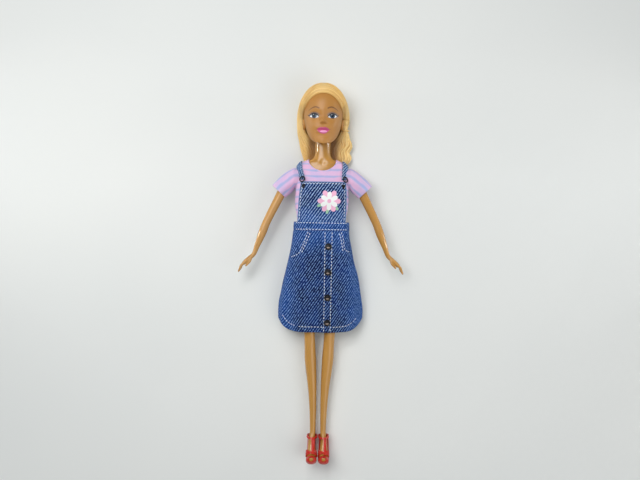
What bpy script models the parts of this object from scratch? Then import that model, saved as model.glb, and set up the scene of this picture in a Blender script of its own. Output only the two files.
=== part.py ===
"""Fashion doll in a striped T-shirt and a denim pinafore dress, lying on its back.

Metres, +Z up. The doll lies along Y with its head towards +Y, its face towards +Z and its own
left hand towards +X. The origin is on the floor, at the middle of the doll's length.
"""

import math

import bmesh
import bpy
from mathutils import Matrix, Vector

TURN = 2 * math.pi
QUARTER = math.pi / 2

# Lengths up the doll, each from the station before it, starting at the shoe soles.
SOLE_TO_ANKLE = 0.0230
ANKLE_TO_CALF = 0.0550
CALF_TO_KNEE = 0.0190
KNEE_TO_HIP = 0.0690
HIP_TO_WAIST = 0.0190
WAIST_TO_BUST = 0.0210
BUST_TO_SHOULDER = 0.0120
SHOULDER_TO_NECK = 0.0150
NECK_TO_CHIN = 0.0100
CHIN_TO_CROWN = 0.0445
HAIR_OVER_CROWN = 0.0030

LENGTHS = (
    SOLE_TO_ANKLE, ANKLE_TO_CALF, CALF_TO_KNEE, KNEE_TO_HIP, HIP_TO_WAIST, WAIST_TO_BUST,
    BUST_TO_SHOULDER, SHOULDER_TO_NECK, NECK_TO_CHIN, CHIN_TO_CROWN, HAIR_OVER_CROWN,
)
DOLL_LENGTH = sum(LENGTHS)
SOLE_Y = -DOLL_LENGTH / 2
ANKLE_Y = SOLE_Y + SOLE_TO_ANKLE
CALF_Y = ANKLE_Y + ANKLE_TO_CALF
KNEE_Y = CALF_Y + CALF_TO_KNEE
HIP_Y = KNEE_Y + KNEE_TO_HIP
WAIST_Y = HIP_Y + HIP_TO_WAIST
BUST_Y = WAIST_Y + WAIST_TO_BUST
SHOULDER_Y = BUST_Y + BUST_TO_SHOULDER
NECK_Y = SHOULDER_Y + SHOULDER_TO_NECK
CHIN_Y = NECK_Y + NECK_TO_CHIN
CROWN_Y = CHIN_Y + CHIN_TO_CROWN
HAIR_TOP_Y = CROWN_Y + HAIR_OVER_CROWN

# Heights over the floor.
BODY_MID_Z = 0.0142
KNEE_Z = 0.0112
CALF_Z = 0.0092
SHIN_Z = 0.0080
ANKLE_Z = 0.0068

# Clearances and walls.
GAP = 0.0003
TORSO_WALL = 0.0016
HEAD_WALL = 0.0024
OVERRUN = 0.0100

# Torso.
NECK_HALF_WIDTH = 0.0060
NECK_HALF_DEPTH = 0.0056
NECK_RISE = 0.0040
BASE_HALF_WIDTH = 0.0080
COLLAR_HALF_WIDTH = 0.0174
CHEST_HALF_WIDTH = 0.0182
RIBS_HALF_WIDTH = 0.0168
WAIST_HALF_WIDTH = 0.0146
HIP_HALF_WIDTH = 0.0184
TONGUE_HALF_WIDTH = 0.0042
TONGUE_DROP = 0.0075
BUST_DEPTH = 0.0126
BELLY_DEPTH = 0.0092
WAIST_DEPTH = 0.0086
COLLAR_DEPTH = 0.0068
BACK_DEPTH = 0.0098
SMALL_OF_BACK_DEPTH = 0.0076
SEAT_DEPTH = 0.0108
SHOULDER_SEAT_X = 0.0178
SHOULDER_SEAT_RADIUS = 0.0062
PIN_RADIUS = 0.0011
PIN_BOSS_RADIUS = 0.0024
PIN_LENGTH = 0.0030

# Joints: a barbed peg in each shoulder, one axle through the crotch, a knob in the neck.
PEG_RADIUS = 0.0020
PEG_FLANGE_RADIUS = 0.0036
PEG_FLANGE = 0.0011
PEG_IN_ARM = 0.0036
PEG_IN_BODY = 0.0036
AXLE_RADIUS = 0.0015
AXLE_IN_LEG = 0.0060
HIP_RADIUS = 0.0092
HIP_BACK_LIFT = 0.0050
KNOB_SHANK_RADIUS = 0.0032
KNOB_SHANK = 0.0090
KNOB_GROOVE = 0.0032
KNOB_RADIUS = 0.0056
KNOB_THICKNESS = 0.0030
NECK_SEAT_RADIUS = 0.0072

# Arms, from the shoulder peg outwards.
ARM_CAP_X = 0.0256
ARM_CAP_HALF_WIDTH = 0.0046
UPPER_ARM = 0.0372
FOREARM = 0.0270
UPPER_ARM_SLANT = math.radians(26)
FOREARM_SLANT = math.radians(21)
HAND_SLANT = math.radians(47)
FINGER_SLANT = math.radians(22)
UPPER_ARM_HALF_WIDTH = 0.0034
ELBOW_HALF_WIDTH = 0.0031
FOREARM_HALF_WIDTH = 0.0030
WRIST_HALF_WIDTH = 0.0017
PALM = 0.0112
PALM_HALF_DEPTH = 0.0033
PALM_HALF_WIDTH = 0.0017
FINGER_HALF_WIDTH = 0.0009
FINGER_PITCH = 0.00168
FINGER_LENGTH = 0.0086
THUMB_LENGTH = 0.0080
FINGER_SHARES = (0.93, 1.0, 0.95, 0.80)

# Legs.
HIP_X = 0.0122
THIGH_HALF_WIDTH = 0.0073
THIGH_HALF_DEPTH = 0.0086
MID_THIGH_HALF_WIDTH = 0.0060
KNEE_X = 0.0076
KNEE_HALF_WIDTH = 0.0042
CALF_X = 0.0066
CALF_HALF_WIDTH = 0.0045
SHIN_X = 0.0046
SHIN_HALF_WIDTH = 0.0031
ANKLE_X = 0.0040
ANKLE_HALF_WIDTH = 0.0022
SHIN_ABOVE_ANKLE = 0.0280

# Foot. It points its toes: it drops along the leg and then turns up towards +Z.
FOOT_X = 0.0047
HEEL_DROP = 0.0062
HEEL_HALF_WIDTH = 0.0025
HEEL_HALF_DEPTH = 0.0040
INSTEP_DROP = 0.0118
INSTEP_RISE = 0.0030
INSTEP_HALF_WIDTH = 0.0028
INSTEP_HALF_DEPTH = 0.0030
BALL_DROP = 0.0178
BALL_RISE = 0.0075
BALL_HALF_WIDTH = 0.0034
BALL_HALF_DEPTH = 0.0021
TOE_DROP = 0.0194
TOE_RISE = 0.0130
TOE_HALF_WIDTH = 0.0026
TOE_HALF_DEPTH = 0.0013

# Shoe.
SHOE_WALL = 0.0008
SHOE_TOP_DROP = 0.0017
STRAP_BAND = 0.0026
T_STRAP_HALF_WIDTH = 0.0011
T_STRAP_X = 0.0010
TOE_BOX = 0.0094
PEEP_RADIUS = 0.0016
PLATFORM_HALF_WIDTH = 0.0043
PLATFORM_HALF_LENGTH = 0.0068
PLATFORM = 0.0020
STILETTO_TIP_RADIUS = 0.0012
STILETTO_TOP_RADIUS = 0.0022

# Head.
FACE_HALF_WIDTH = 0.0146
JAW_HALF_WIDTH = 0.0088
FACE_Z = 0.0334
CHIN_Z = 0.0312
SKULL_Z = 0.0034
HEAD_MID_Z = 0.0180
JAW_DROP = 0.0050
JAW_RISE = 0.0052
NOSE_HEIGHT = 0.0032
NOSE_HALF_WIDTH = 0.0023
NOSE_ABOVE_CHIN = 0.0160
LIP_HEIGHT = 0.0008
LIPS_ABOVE_CHIN = 0.0095
LIPS_HALF_WIDTH = 0.0050
EYE_DEPTH = 0.0009
EYE_X = 0.0069
EYES_ABOVE_CHIN = 0.0205
EYE_HALF_WIDTH = 0.0034
EAR_ABOVE_CHIN = 0.0160
EAR_Z = 0.0165
EAR_HALF_LENGTH = 0.0041
EAR_HALF_WIDTH = 0.0018
EAR_HALF_DEPTH = 0.0026

# Hair.
HAIR_BESIDE_FACE = 0.0052
HAIR_HALF_WIDTH = FACE_HALF_WIDTH + HAIR_BESIDE_FACE
HAIR_BOTTOM_HALF_WIDTH = 0.0176
HAIR_FRONT_Z = 0.0315
HAIR_SIDE_Z = 0.0130
HAIR_BOTTOM_Z = 0.0088
HAIR_BACK_SAG = 0.0008
HAIRLINE_ABOVE_CHIN = 0.0385
HAIR_BOTTOM_ABOVE_CHIN = 0.0060
ROLL_RADIUS = 0.0021
ROLL_TIP_RADIUS = 0.0011
FALL_HALF_WIDTH = 0.0096
FALL_START_Z = 0.0046
FALL_TOP_Z = 0.0076
FALL_END_Z = 0.0056
FALL_LENGTH = 0.0180
LOCK_Z = 0.0072
LOCK_END_Z = 0.0030
LOCK_HALF_DEPTH = 0.0030
RIGHT_LOCK_INSIDE_FACE = 0.0004
RIGHT_LOCK_X = FACE_HALF_WIDTH - RIGHT_LOCK_INSIDE_FACE
RIGHT_LOCK_END_X = 0.0128
RIGHT_LOCK_HALF_WIDTH = 0.0040
RIGHT_LOCK_LENGTH = 0.0188
LEFT_LOCK_BESIDE_FACE = 0.0014
LEFT_LOCK_X = FACE_HALF_WIDTH + LEFT_LOCK_BESIDE_FACE
LEFT_LOCK_TOP_Z = 0.0120
LEFT_LOCK_HALF_WIDTH = 0.0054
LEFT_LOCK_LENGTH = 0.0300
LEFT_LOCK_ABOVE_CHIN = 0.0150
TIE_RADIUS = 0.0022
TIE_WIRE = 0.0007

# T-shirt.
SHIRT_EASE = 0.0007
SHIRT_WALL = 0.0007
SHIRT_SIDE_EASE = 0.0014
SHIRT_BOTTOM_ABOVE_WAIST = 0.0012
NECKLINE_HALF_WIDTH = 0.0108
NECKLINE_LENGTH = 0.0180
NECKLINE_ABOVE_SHOULDER = 0.0070
NECKLINE_TILT = math.radians(13)
ARMHOLE_RADIUS = 0.0066
SLEEVE_SEAM_RADIUS = 0.0080
SLEEVE_HEM_HALF_WIDTH = 0.0068
SLEEVE_HEM_HALF_DEPTH = 0.0066
SLEEVE_REACH = 0.0116
SLEEVE_LEAD = 0.0008
SLEEVE_DROP = 0.0102
SLEEVE_SLANT = math.radians(43)
SHIRT_OPENING = 0.0006

# Pinafore dress.
CLOTH = 0.0006
WAISTBAND = 0.0064
WAISTBAND_UNDER_WAIST = 0.0066
WAISTBAND_HALF_WIDTH = 0.0206
WAISTBAND_FRONT_Z = 0.0252
WAISTBAND_BACK_Z = 0.0020
SKIRT_LENGTH = 0.0776
SKIRT_TOP_HALF_WIDTH = 0.0208
SKIRT_HEM_HALF_WIDTH = 0.0318
SKIRT_FRONT_Z = 0.0256
SKIRT_HEM_FRONT_Z = 0.0180
SKIRT_SEAM_Z = 0.0125
SKIRT_HEM_SEAM_Z = 0.0050
SKIRT_BACK_SAG = 0.0006
HEM_CORNER_RISE = 0.0090
FOLD_DEPTH = 0.0008
BIB_LENGTH = 0.0298
BIB_TOP_HALF_WIDTH = 0.0168
BIB_HALF_WIDTH = 0.0182
BIB_WRAP = math.radians(70)
BACK_PANEL_LENGTH = 0.0170
BACK_PANEL_HALF_WIDTH = 0.0150
BACK_OPENING = 0.0006
STRAP_HALF_WIDTH = 0.0018
STRAP_WALL = 0.0005
STRAP_FRONT_X = 0.0158
STRAP_TOP_X = 0.0162
STRAP_BACK_X = 0.0110
BUCKLE_RADIUS = 0.0019
BUCKLE_WIRE = 0.0004
TAB_HALF_WIDTH = 0.0014
TAB_LENGTH = 0.0030
PLACKET_X = 0.0055
PLACKET_HALF_WIDTH = 0.0034
PLACKET_WALL = 0.0004
PLACKET_DROP = 0.0004
PLACKET_RISE = 0.0012
BUTTON_RADIUS = 0.0026
BUTTON_HEIGHT = 0.0009
BUTTON_DISH = 0.0003
FIRST_BUTTON_DROP = 0.0120
LAST_BUTTON_RISE = 0.0077
BUTTONS = 4
BUTTON_PITCH = (SKIRT_LENGTH - FIRST_BUTTON_DROP - LAST_BUTTON_RISE) / (BUTTONS - 1)
TAPE_HALF_WIDTH = 0.0020
TAPE_WALL = 0.0004

# Sections are ovals with this power; 2 is an ellipse.
SQUARE = 2.25
SKIRT_SQUARE = 2.8
SHIRT_SQUARE = 2.9
ROUND = 2.0

SKIN = (0.62, 0.33, 0.12)
VINYL = (0.60, 0.31, 0.12)
GOLD_HAIR = (0.85, 0.58, 0.22)
PINK = (0.82, 0.42, 0.68)
DENIM = (0.06, 0.14, 0.33)
PALE_DENIM = (0.14, 0.27, 0.48)
BLACK = (0.01, 0.01, 0.012)
RED = (0.55, 0.03, 0.02)
NATURAL = (0.70, 0.66, 0.58)

for old in list(bpy.data.objects):
    bpy.data.objects.remove(old, do_unlink=True)

DOLL = bpy.data.collections.new("fashion_doll")
CUTTERS = bpy.data.collections.new("cutters")
bpy.context.scene.collection.children.link(DOLL)
bpy.context.scene.collection.children.link(CUTTERS)


def paint(name, colour, roughness, metallic=0.0):
    """One material of its own for a piece."""
    material = bpy.data.materials.new(name)
    material.use_nodes = True
    shader = material.node_tree.nodes["Principled BSDF"]
    shader.inputs["Base Color"].default_value = (*colour, 1.0)
    shader.inputs["Roughness"].default_value = roughness
    shader.inputs["Metallic"].default_value = metallic
    return material


def put(name, mesh, look, pivot=None):
    """Place a mesh as a named piece, with its origin on its pivot when it has one."""
    thing = bpy.data.objects.new(name, mesh)
    if look is None:
        CUTTERS.objects.link(thing)
        thing.hide_render = True
        thing.display_type = "WIRE"
        return thing
    DOLL.objects.link(thing)
    mesh.materials.clear()
    mesh.materials.append(paint(name, *look))
    mesh.shade_smooth()
    mesh.set_sharp_from_angle(angle=math.radians(50))
    if pivot is not None:
        mesh.transform(Matrix.Translation(-pivot.location))
        thing.parent = pivot
    return thing


def pivot_at(name, place):
    """An empty on a joint axis; the pieces that move with the joint are its children."""
    empty = bpy.data.objects.new(name, None)
    empty.location = place
    DOLL.objects.link(empty)
    bpy.context.view_layer.update()
    return empty


def boolean(thing, other, operation="DIFFERENCE", solver="EXACT"):
    """Cut one piece with another, or join it."""
    step = thing.modifiers.new(other.name, "BOOLEAN")
    step.operation = operation
    step.object = other
    step.solver = solver
    return thing


def thicken(thing, wall, offset=1.0):
    """Give an open sheet its wall."""
    step = thing.modifiers.new("wall", "SOLIDIFY")
    step.thickness = wall
    step.offset = offset
    step.use_even_offset = True
    return thing


def power(value, square):
    return math.copysign(abs(value) ** (2 / square), value)


def read(table, place):
    """Read the row of a table at a place, smoothly between its stations."""
    index = 0
    while index < len(table) - 2 and table[index + 1][0] < place:
        index += 1
    low = table[index]
    high = table[index + 1]
    before = table[max(index - 1, 0)]
    after = table[min(index + 2, len(table) - 1)]
    step = high[0] - low[0]
    share = min(max((place - low[0]) / step, 0), 1)
    row = []
    for column in range(1, len(low)):
        slope_in = (high[column] - before[column]) / (high[0] - before[0]) * step
        slope_out = (after[column] - low[column]) / (after[0] - low[0]) * step
        cube = share ** 3
        square = share ** 2
        row.append(
            (2 * cube - 3 * square + 1) * low[column]
            + (cube - 2 * square + share) * slope_in
            + (3 * square - 2 * cube) * high[column]
            + (cube - square) * slope_out
        )
    return row


def spread(low, high, count):
    """Places from low to high, both included."""
    return [low + (high - low) * index / (count - 1) for index in range(count)]


def oval(angle, half_width, front, back, square=SQUARE):
    """A point of an oval section, with its own depth to the front and to the back."""
    depth = front if math.sin(angle) >= 0 else back
    return power(math.cos(angle), square) * half_width, power(math.sin(angle), square) * depth


def loft(name, rings, look, pivot=None):
    """A closed solid through unlike sections, which all have as many points."""
    build = bmesh.new()
    grid = [[build.verts.new(point) for point in ring] for ring in rings]
    sides = len(grid[0])
    for low, high in zip(grid, grid[1:]):
        for side in range(sides):
            after = (side + 1) % sides
            build.faces.new((low[side], low[after], high[after], high[side]))
    build.faces.new(list(reversed(grid[0])))
    build.faces.new(grid[-1])
    bmesh.ops.recalc_face_normals(build, faces=build.faces)
    mesh = bpy.data.meshes.new(name)
    build.to_mesh(mesh)
    build.free()
    return put(name, mesh, look, pivot)


def sheet(name, rows, wall, look, pivot=None, offset=1.0, closed=False):
    """An open sheet of rows of points, thickened away from the body."""
    build = bmesh.new()
    grid = [[build.verts.new(point) for point in row] for row in rows]
    columns = len(grid[0])
    for low, high in zip(grid, grid[1:]):
        for column in range(columns if closed else columns - 1):
            after = (column + 1) % columns
            build.faces.new((low[column], high[column], high[after], low[after]))
    mesh = bpy.data.meshes.new(name)
    build.to_mesh(mesh)
    build.free()
    return thicken(put(name, mesh, look, pivot), wall, offset)


def turned(name, profile, place, axis, look, pivot=None, steps=16):
    """A turned piece: a profile of radii and heights, screwed round an axis."""
    mesh = bpy.data.meshes.new(name)
    points = [(radius, 0, height) for radius, height in profile]
    edges = [(index, index + 1) for index in range(len(points) - 1)]
    if profile[0][0]:
        edges.append((len(points) - 1, 0))
    mesh.from_pydata(points, edges, [])
    turn = Vector((0, 0, 1)).rotation_difference(Vector(axis)).to_matrix().to_4x4()
    thing = put(name, mesh, look, None)
    step = thing.modifiers.new("turn", "SCREW")
    step.steps = steps
    step.render_steps = steps
    step.use_merge_vertices = True
    step.merge_threshold = 0.00001
    step.use_smooth_shade = True
    if pivot is None:
        thing.matrix_world = Matrix.Translation(place) @ turn
    else:
        thing.parent = pivot
        thing.matrix_local = Matrix.Translation(Vector(place) - pivot.location) @ turn
    return thing


def cylinder(name, radius, low, high, look=None, pivot=None, steps=20):
    """A round rod or a round cutter between two points."""
    low = Vector(low)
    high = Vector(high)
    length = (high - low).length
    profile = ((0, length), (radius, length), (radius, 0), (0, 0))
    return turned(name, profile, low, high - low, look, pivot, steps)


def extruded(name, outline, low_x, high_x, look=None, pivot=None):
    """An outline of (y, z) points, extruded along X."""
    return loft(name, [[(x, y, z) for y, z in outline] for x in (low_x, high_x)], look, pivot)


def box(name, low, high, look=None):
    """A box between two corners."""
    build = bmesh.new()
    size = Vector(high) - Vector(low)
    middle = (Vector(high) + Vector(low)) / 2
    bmesh.ops.create_cube(build, size=1, matrix=Matrix.Translation(middle) @ Matrix.Diagonal((*size, 1)))
    mesh = bpy.data.meshes.new(name)
    build.to_mesh(mesh)
    build.free()
    return put(name, mesh, look)


def tube(name, points, radii, look, pivot=None, ring=2):
    """A bar of changing thickness along a smooth route, as a mesh that can cut or be cut."""
    curve = bpy.data.curves.new(name, "CURVE")
    curve.dimensions = "3D"
    curve.bevel_depth = 1
    curve.bevel_resolution = ring
    curve.use_fill_caps = True
    spline = curve.splines.new("POLY")
    spline.points.add(len(points) - 1)
    for point, place, radius in zip(spline.points, points, radii):
        point.co = (*place, 1)
        point.radius = radius
    holder = bpy.data.objects.new(name + "_route", curve)
    DOLL.objects.link(holder)
    bpy.context.view_layer.update()
    mesh = bpy.data.meshes.new_from_object(holder.evaluated_get(bpy.context.evaluated_depsgraph_get()))
    bpy.data.objects.remove(holder, do_unlink=True)
    build = bmesh.new()
    build.from_mesh(mesh)
    bmesh.ops.remove_doubles(build, verts=build.verts, dist=0.00001)
    bmesh.ops.recalc_face_normals(build, faces=build.faces)
    build.to_mesh(mesh)
    build.free()
    return put(name, mesh, look, pivot)


def route(table, count):
    """A smooth route with thickness: rows of place along, x, y, z and radius."""
    rows = [read(table, place) for place in spread(table[0][0], table[-1][0], count)]
    return [Vector(row[:3]) for row in rows], [row[3] for row in rows]


# Torso: one table of sections feeds the shell, its hollow, the T-shirt and the dress.
NECK_TOP_Y = CHIN_Y + NECK_RISE
CROTCH_Y = HIP_Y - TONGUE_DROP
TORSO_TABLE = (
    (CROTCH_Y, TONGUE_HALF_WIDTH, TONGUE_DROP * 0.7, TONGUE_DROP * 0.7),
    (HIP_Y - TONGUE_DROP / 2, HIP_HALF_WIDTH * 0.8, BELLY_DEPTH * 0.95, SEAT_DEPTH * 0.9),
    (HIP_Y, HIP_HALF_WIDTH, BELLY_DEPTH, SEAT_DEPTH),
    (HIP_Y + HIP_TO_WAIST * 0.4, HIP_HALF_WIDTH, BELLY_DEPTH * 1.05, SEAT_DEPTH),
    (HIP_Y + HIP_TO_WAIST * 0.7, HIP_HALF_WIDTH * 0.91, BELLY_DEPTH, SEAT_DEPTH * 0.85),
    (WAIST_Y, WAIST_HALF_WIDTH, WAIST_DEPTH, SMALL_OF_BACK_DEPTH),
    (WAIST_Y + WAIST_TO_BUST * 0.35, WAIST_HALF_WIDTH * 1.04, WAIST_DEPTH * 1.06, SMALL_OF_BACK_DEPTH),
    (WAIST_Y + WAIST_TO_BUST * 0.68, RIBS_HALF_WIDTH, BUST_DEPTH * 0.93, BACK_DEPTH * 0.9),
    (BUST_Y, CHEST_HALF_WIDTH * 0.97, BUST_DEPTH, BACK_DEPTH),
    (BUST_Y + BUST_TO_SHOULDER / 2, CHEST_HALF_WIDTH, BUST_DEPTH * 0.9, BACK_DEPTH),
    (SHOULDER_Y, CHEST_HALF_WIDTH, BUST_DEPTH * 0.73, BACK_DEPTH * 0.97),
    (SHOULDER_Y + SHOULDER_TO_NECK * 0.35, CHEST_HALF_WIDTH * 0.98, COLLAR_DEPTH * 1.1, BACK_DEPTH * 0.85),
    (SHOULDER_Y + SHOULDER_TO_NECK * 0.62, COLLAR_HALF_WIDTH, COLLAR_DEPTH, COLLAR_DEPTH * 1.08),
    (SHOULDER_Y + SHOULDER_TO_NECK * 0.84, COLLAR_HALF_WIDTH * 0.79, COLLAR_DEPTH * 0.93, COLLAR_DEPTH),
    (NECK_Y, BASE_HALF_WIDTH, COLLAR_DEPTH * 0.88, COLLAR_DEPTH * 0.92),
    (NECK_Y + NECK_TO_CHIN * 0.4, NECK_HALF_WIDTH, NECK_HALF_DEPTH, NECK_HALF_DEPTH),
    (NECK_TOP_Y, NECK_HALF_WIDTH, NECK_HALF_DEPTH, NECK_HALF_DEPTH),
)


def torso_rings(places, grow, sides):
    """Sections of the torso at some heights, grown or shrunk by an offset."""
    rings = []
    for place in places:
        half_width, front, back = read(TORSO_TABLE, place)
        ring = []
        for side in range(sides):
            x, z = oval(TURN * side / sides, half_width + grow, front + grow, back + grow)
            ring.append((x, place, BODY_MID_Z + z))
        rings.append(ring)
    return rings


head_pivot = pivot_at("head_joint", (0, NECK_TOP_Y, BODY_MID_Z))
arm_pivots = {}
leg_pivots = {}
for side_name, side in (("left", 1), ("right", -1)):
    seat = (side * SHOULDER_SEAT_X, SHOULDER_Y, BODY_MID_Z)
    arm_pivots[side] = pivot_at(side_name + "_shoulder_joint", seat)
    leg_pivots[side] = pivot_at(side_name + "_hip_joint", (side * HIP_X, HIP_Y, BODY_MID_Z))

CAVITY_LOW = HIP_Y + HIP_RADIUS + GAP + TORSO_WALL
CAVITY_HIGH = SHOULDER_Y + SHOULDER_TO_NECK * 0.5
cavity = loft("torso_cavity", torso_rings(spread(CAVITY_LOW, CAVITY_HIGH, 8), -TORSO_WALL, 14), None)
sockets = []
for side_name, side in (("left", 1), ("right", -1)):
    inner = side * TONGUE_HALF_WIDTH
    outer = side * (HIP_HALF_WIDTH + OVERRUN)
    reach = HIP_RADIUS + GAP
    start = -math.acos(HIP_BACK_LIFT / reach)
    outline = [(CROTCH_Y - OVERRUN, -OVERRUN), (HIP_Y + HIP_BACK_LIFT, -OVERRUN)]
    for angle in spread(start, 0, 7):
        outline.append((HIP_Y + reach * math.cos(angle), BODY_MID_Z + reach * math.sin(angle)))
    outline.append((HIP_Y + reach, BODY_MID_Z + BELLY_DEPTH + OVERRUN))
    outline.append((CROTCH_Y - OVERRUN, BODY_MID_Z + BELLY_DEPTH + OVERRUN))
    sockets.append(extruded(side_name + "_hip_socket", outline, inner, outer))
    seat = side * SHOULDER_SEAT_X
    sockets.append(cylinder(side_name + "_shoulder_seat", SHOULDER_SEAT_RADIUS,
                            (seat, SHOULDER_Y, BODY_MID_Z), (seat + side * OVERRUN, SHOULDER_Y, BODY_MID_Z)))
    sockets.append(cylinder(side_name + "_peg_hole", PEG_RADIUS + GAP,
                            (seat - side * (TORSO_WALL + PEG_IN_BODY), SHOULDER_Y, BODY_MID_Z),
                            (seat + side * GAP, SHOULDER_Y, BODY_MID_Z), steps=16))
sockets.append(cylinder("axle_hole", AXLE_RADIUS + GAP, (-TONGUE_HALF_WIDTH - GAP, HIP_Y, BODY_MID_Z),
                        (TONGUE_HALF_WIDTH + GAP, HIP_Y, BODY_MID_Z), steps=16))
sockets.append(cylinder("knob_hole", KNOB_SHANK_RADIUS + GAP, (0, CAVITY_HIGH - TORSO_WALL, BODY_MID_Z),
                        (0, NECK_TOP_Y + OVERRUN, BODY_MID_Z), steps=16))

COLLAR_PLACES = spread(SHOULDER_Y + SHOULDER_TO_NECK * 0.35, NECK_Y, 5)
SHELL_PLACES = spread(CROTCH_Y, SHOULDER_Y, 14) + COLLAR_PLACES + spread(NECK_Y, NECK_TOP_Y, 4)[1:]
PIN_PLACES = (WAIST_Y + WAIST_TO_BUST * 0.2, BUST_Y + BUST_TO_SHOULDER * 0.5)
for half_name, half in (("front", 1), ("back", -1)):
    shell = loft("torso_" + half_name, torso_rings(SHELL_PLACES, 0, 18), (SKIN, 0.22))
    boolean(shell, cavity)
    for index, place in enumerate(PIN_PLACES):
        half_width, front, back = read(TORSO_TABLE, place)
        depth = front if half > 0 else back
        boss = cylinder(f"{half_name}_boss_{index}", PIN_BOSS_RADIUS, (0, place, BODY_MID_Z),
                        (0, place, BODY_MID_Z + half * (depth - TORSO_WALL / 2)), steps=12)
        boolean(shell, boss, "UNION")
    for socket in sockets:
        boolean(shell, socket)
    span = CHEST_HALF_WIDTH + OVERRUN
    low_z = BODY_MID_Z + GAP / 2 if half > 0 else -OVERRUN
    high_z = BODY_MID_Z + BUST_DEPTH + OVERRUN if half > 0 else BODY_MID_Z - GAP / 2
    halve = box("keep_" + half_name, (-span, CROTCH_Y - OVERRUN, low_z),
                (span, NECK_TOP_Y + OVERRUN, high_z))
    boolean(shell, halve, "INTERSECT", "MANIFOLD")
    for index, place in enumerate(PIN_PLACES):
        if half > 0:
            pin = cylinder(f"pin_{index}", PIN_RADIUS, (0, place, BODY_MID_Z - PIN_LENGTH),
                           (0, place, BODY_MID_Z + PIN_LENGTH), steps=12)
            boolean(shell, pin, "UNION", "MANIFOLD")
        else:
            hole = cylinder(f"pin_hole_{index}", PIN_RADIUS + GAP, (0, place, BODY_MID_Z - PIN_LENGTH - GAP),
                            (0, place, BODY_MID_Z + GAP), steps=14)
            boolean(shell, hole, "DIFFERENCE", "MANIFOLD")

cylinder("hip_axle", AXLE_RADIUS, (-TONGUE_HALF_WIDTH - AXLE_IN_LEG, HIP_Y, BODY_MID_Z),
         (TONGUE_HALF_WIDTH + AXLE_IN_LEG, HIP_Y, BODY_MID_Z), (NATURAL, 0.4), steps=16)

# Knob: shank in the neck, groove in the floor of the head, disc inside the head.
knob_top = KNOB_SHANK + KNOB_GROOVE + KNOB_THICKNESS
turned("neck_knob", (
    (0, knob_top), (KNOB_RADIUS * 0.7, knob_top), (KNOB_RADIUS, knob_top - KNOB_THICKNESS * 0.6),
    (KNOB_RADIUS, knob_top - KNOB_THICKNESS), (KNOB_SHANK_RADIUS, knob_top - KNOB_THICKNESS),
    (KNOB_SHANK_RADIUS, 0), (0, 0),
), (0, NECK_TOP_Y - KNOB_SHANK, BODY_MID_Z), (0, 1, 0), (NATURAL, 0.4))


# Legs, with one table of sections each for the leg and another for the foot.
def leg_rings(side, grow, sides, from_row=0):
    """Sections from the rounded hip to the toes; the foot turns up towards +Z."""
    rows = []
    for share in (0.97, 0.8, 0.5, 0):
        lift = HIP_RADIUS * share
        depth = HIP_RADIUS * math.sqrt(1 - share ** 2)
        reach = THIGH_HALF_WIDTH * (1 - 0.45 * share ** 3)
        rows.append((HIP_X - (THIGH_HALF_WIDTH - reach), HIP_Y + lift, BODY_MID_Z, reach, depth, 0))
    thigh = HIP_Y - KNEE_Y
    rows += [
        (HIP_X - (HIP_X - KNEE_X) * 0.2, HIP_Y - thigh * 0.2, BODY_MID_Z, THIGH_HALF_WIDTH * 0.97,
         THIGH_HALF_DEPTH, 0),
        ((HIP_X + KNEE_X) / 2, HIP_Y - thigh / 2, (BODY_MID_Z + KNEE_Z) / 2, MID_THIGH_HALF_WIDTH,
         THIGH_HALF_DEPTH * 0.78, 0),
        (KNEE_X + (HIP_X - KNEE_X) * 0.15, KNEE_Y + thigh * 0.18, KNEE_Z, KNEE_HALF_WIDTH * 1.1,
         KNEE_HALF_WIDTH * 1.2, 0),
        (KNEE_X, KNEE_Y, KNEE_Z, KNEE_HALF_WIDTH, KNEE_HALF_WIDTH, 0),
        ((KNEE_X + CALF_X) / 2, (KNEE_Y + CALF_Y) / 2, (KNEE_Z + CALF_Z) / 2, CALF_HALF_WIDTH * 0.96,
         CALF_HALF_WIDTH * 1.02, 0),
        (CALF_X, CALF_Y, CALF_Z, CALF_HALF_WIDTH, CALF_HALF_WIDTH * 1.06, 0),
        (SHIN_X, ANKLE_Y + SHIN_ABOVE_ANKLE, SHIN_Z, SHIN_HALF_WIDTH, SHIN_HALF_WIDTH, 0),
        (ANKLE_X, ANKLE_Y, ANKLE_Z, ANKLE_HALF_WIDTH, ANKLE_HALF_WIDTH * 1.15, 0),
        (FOOT_X, ANKLE_Y - HEEL_DROP, ANKLE_Z + INSTEP_RISE * 0.1, HEEL_HALF_WIDTH, HEEL_HALF_DEPTH, 0.12),
        (FOOT_X, ANKLE_Y - INSTEP_DROP, ANKLE_Z + INSTEP_RISE, INSTEP_HALF_WIDTH, INSTEP_HALF_DEPTH, 0.48),
        (FOOT_X, ANKLE_Y - BALL_DROP, ANKLE_Z + BALL_RISE, BALL_HALF_WIDTH, BALL_HALF_DEPTH, 0.78),
        (FOOT_X, ANKLE_Y - TOE_DROP, ANKLE_Z + TOE_RISE, TOE_HALF_WIDTH, TOE_HALF_DEPTH, 1),
        (FOOT_X, ANKLE_Y - TOE_DROP, ANKLE_Z + TOE_RISE + TOE_HALF_DEPTH * 0.9 + grow, TOE_HALF_WIDTH * 0.6,
         TOE_HALF_DEPTH * 0.5, 1),
    ]
    rings = []
    for x, y, z, half_width, half_depth, share in rows[from_row:]:
        lean = QUARTER * share
        ring = []
        for index in range(sides):
            across, up = oval(TURN * index / sides, half_width + grow, half_depth + grow,
                              half_depth + grow, ROUND)
            ring.append((side * (x + across), y + up * math.sin(lean), z + up * math.cos(lean)))
        rings.append(ring)
    return rings


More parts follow.
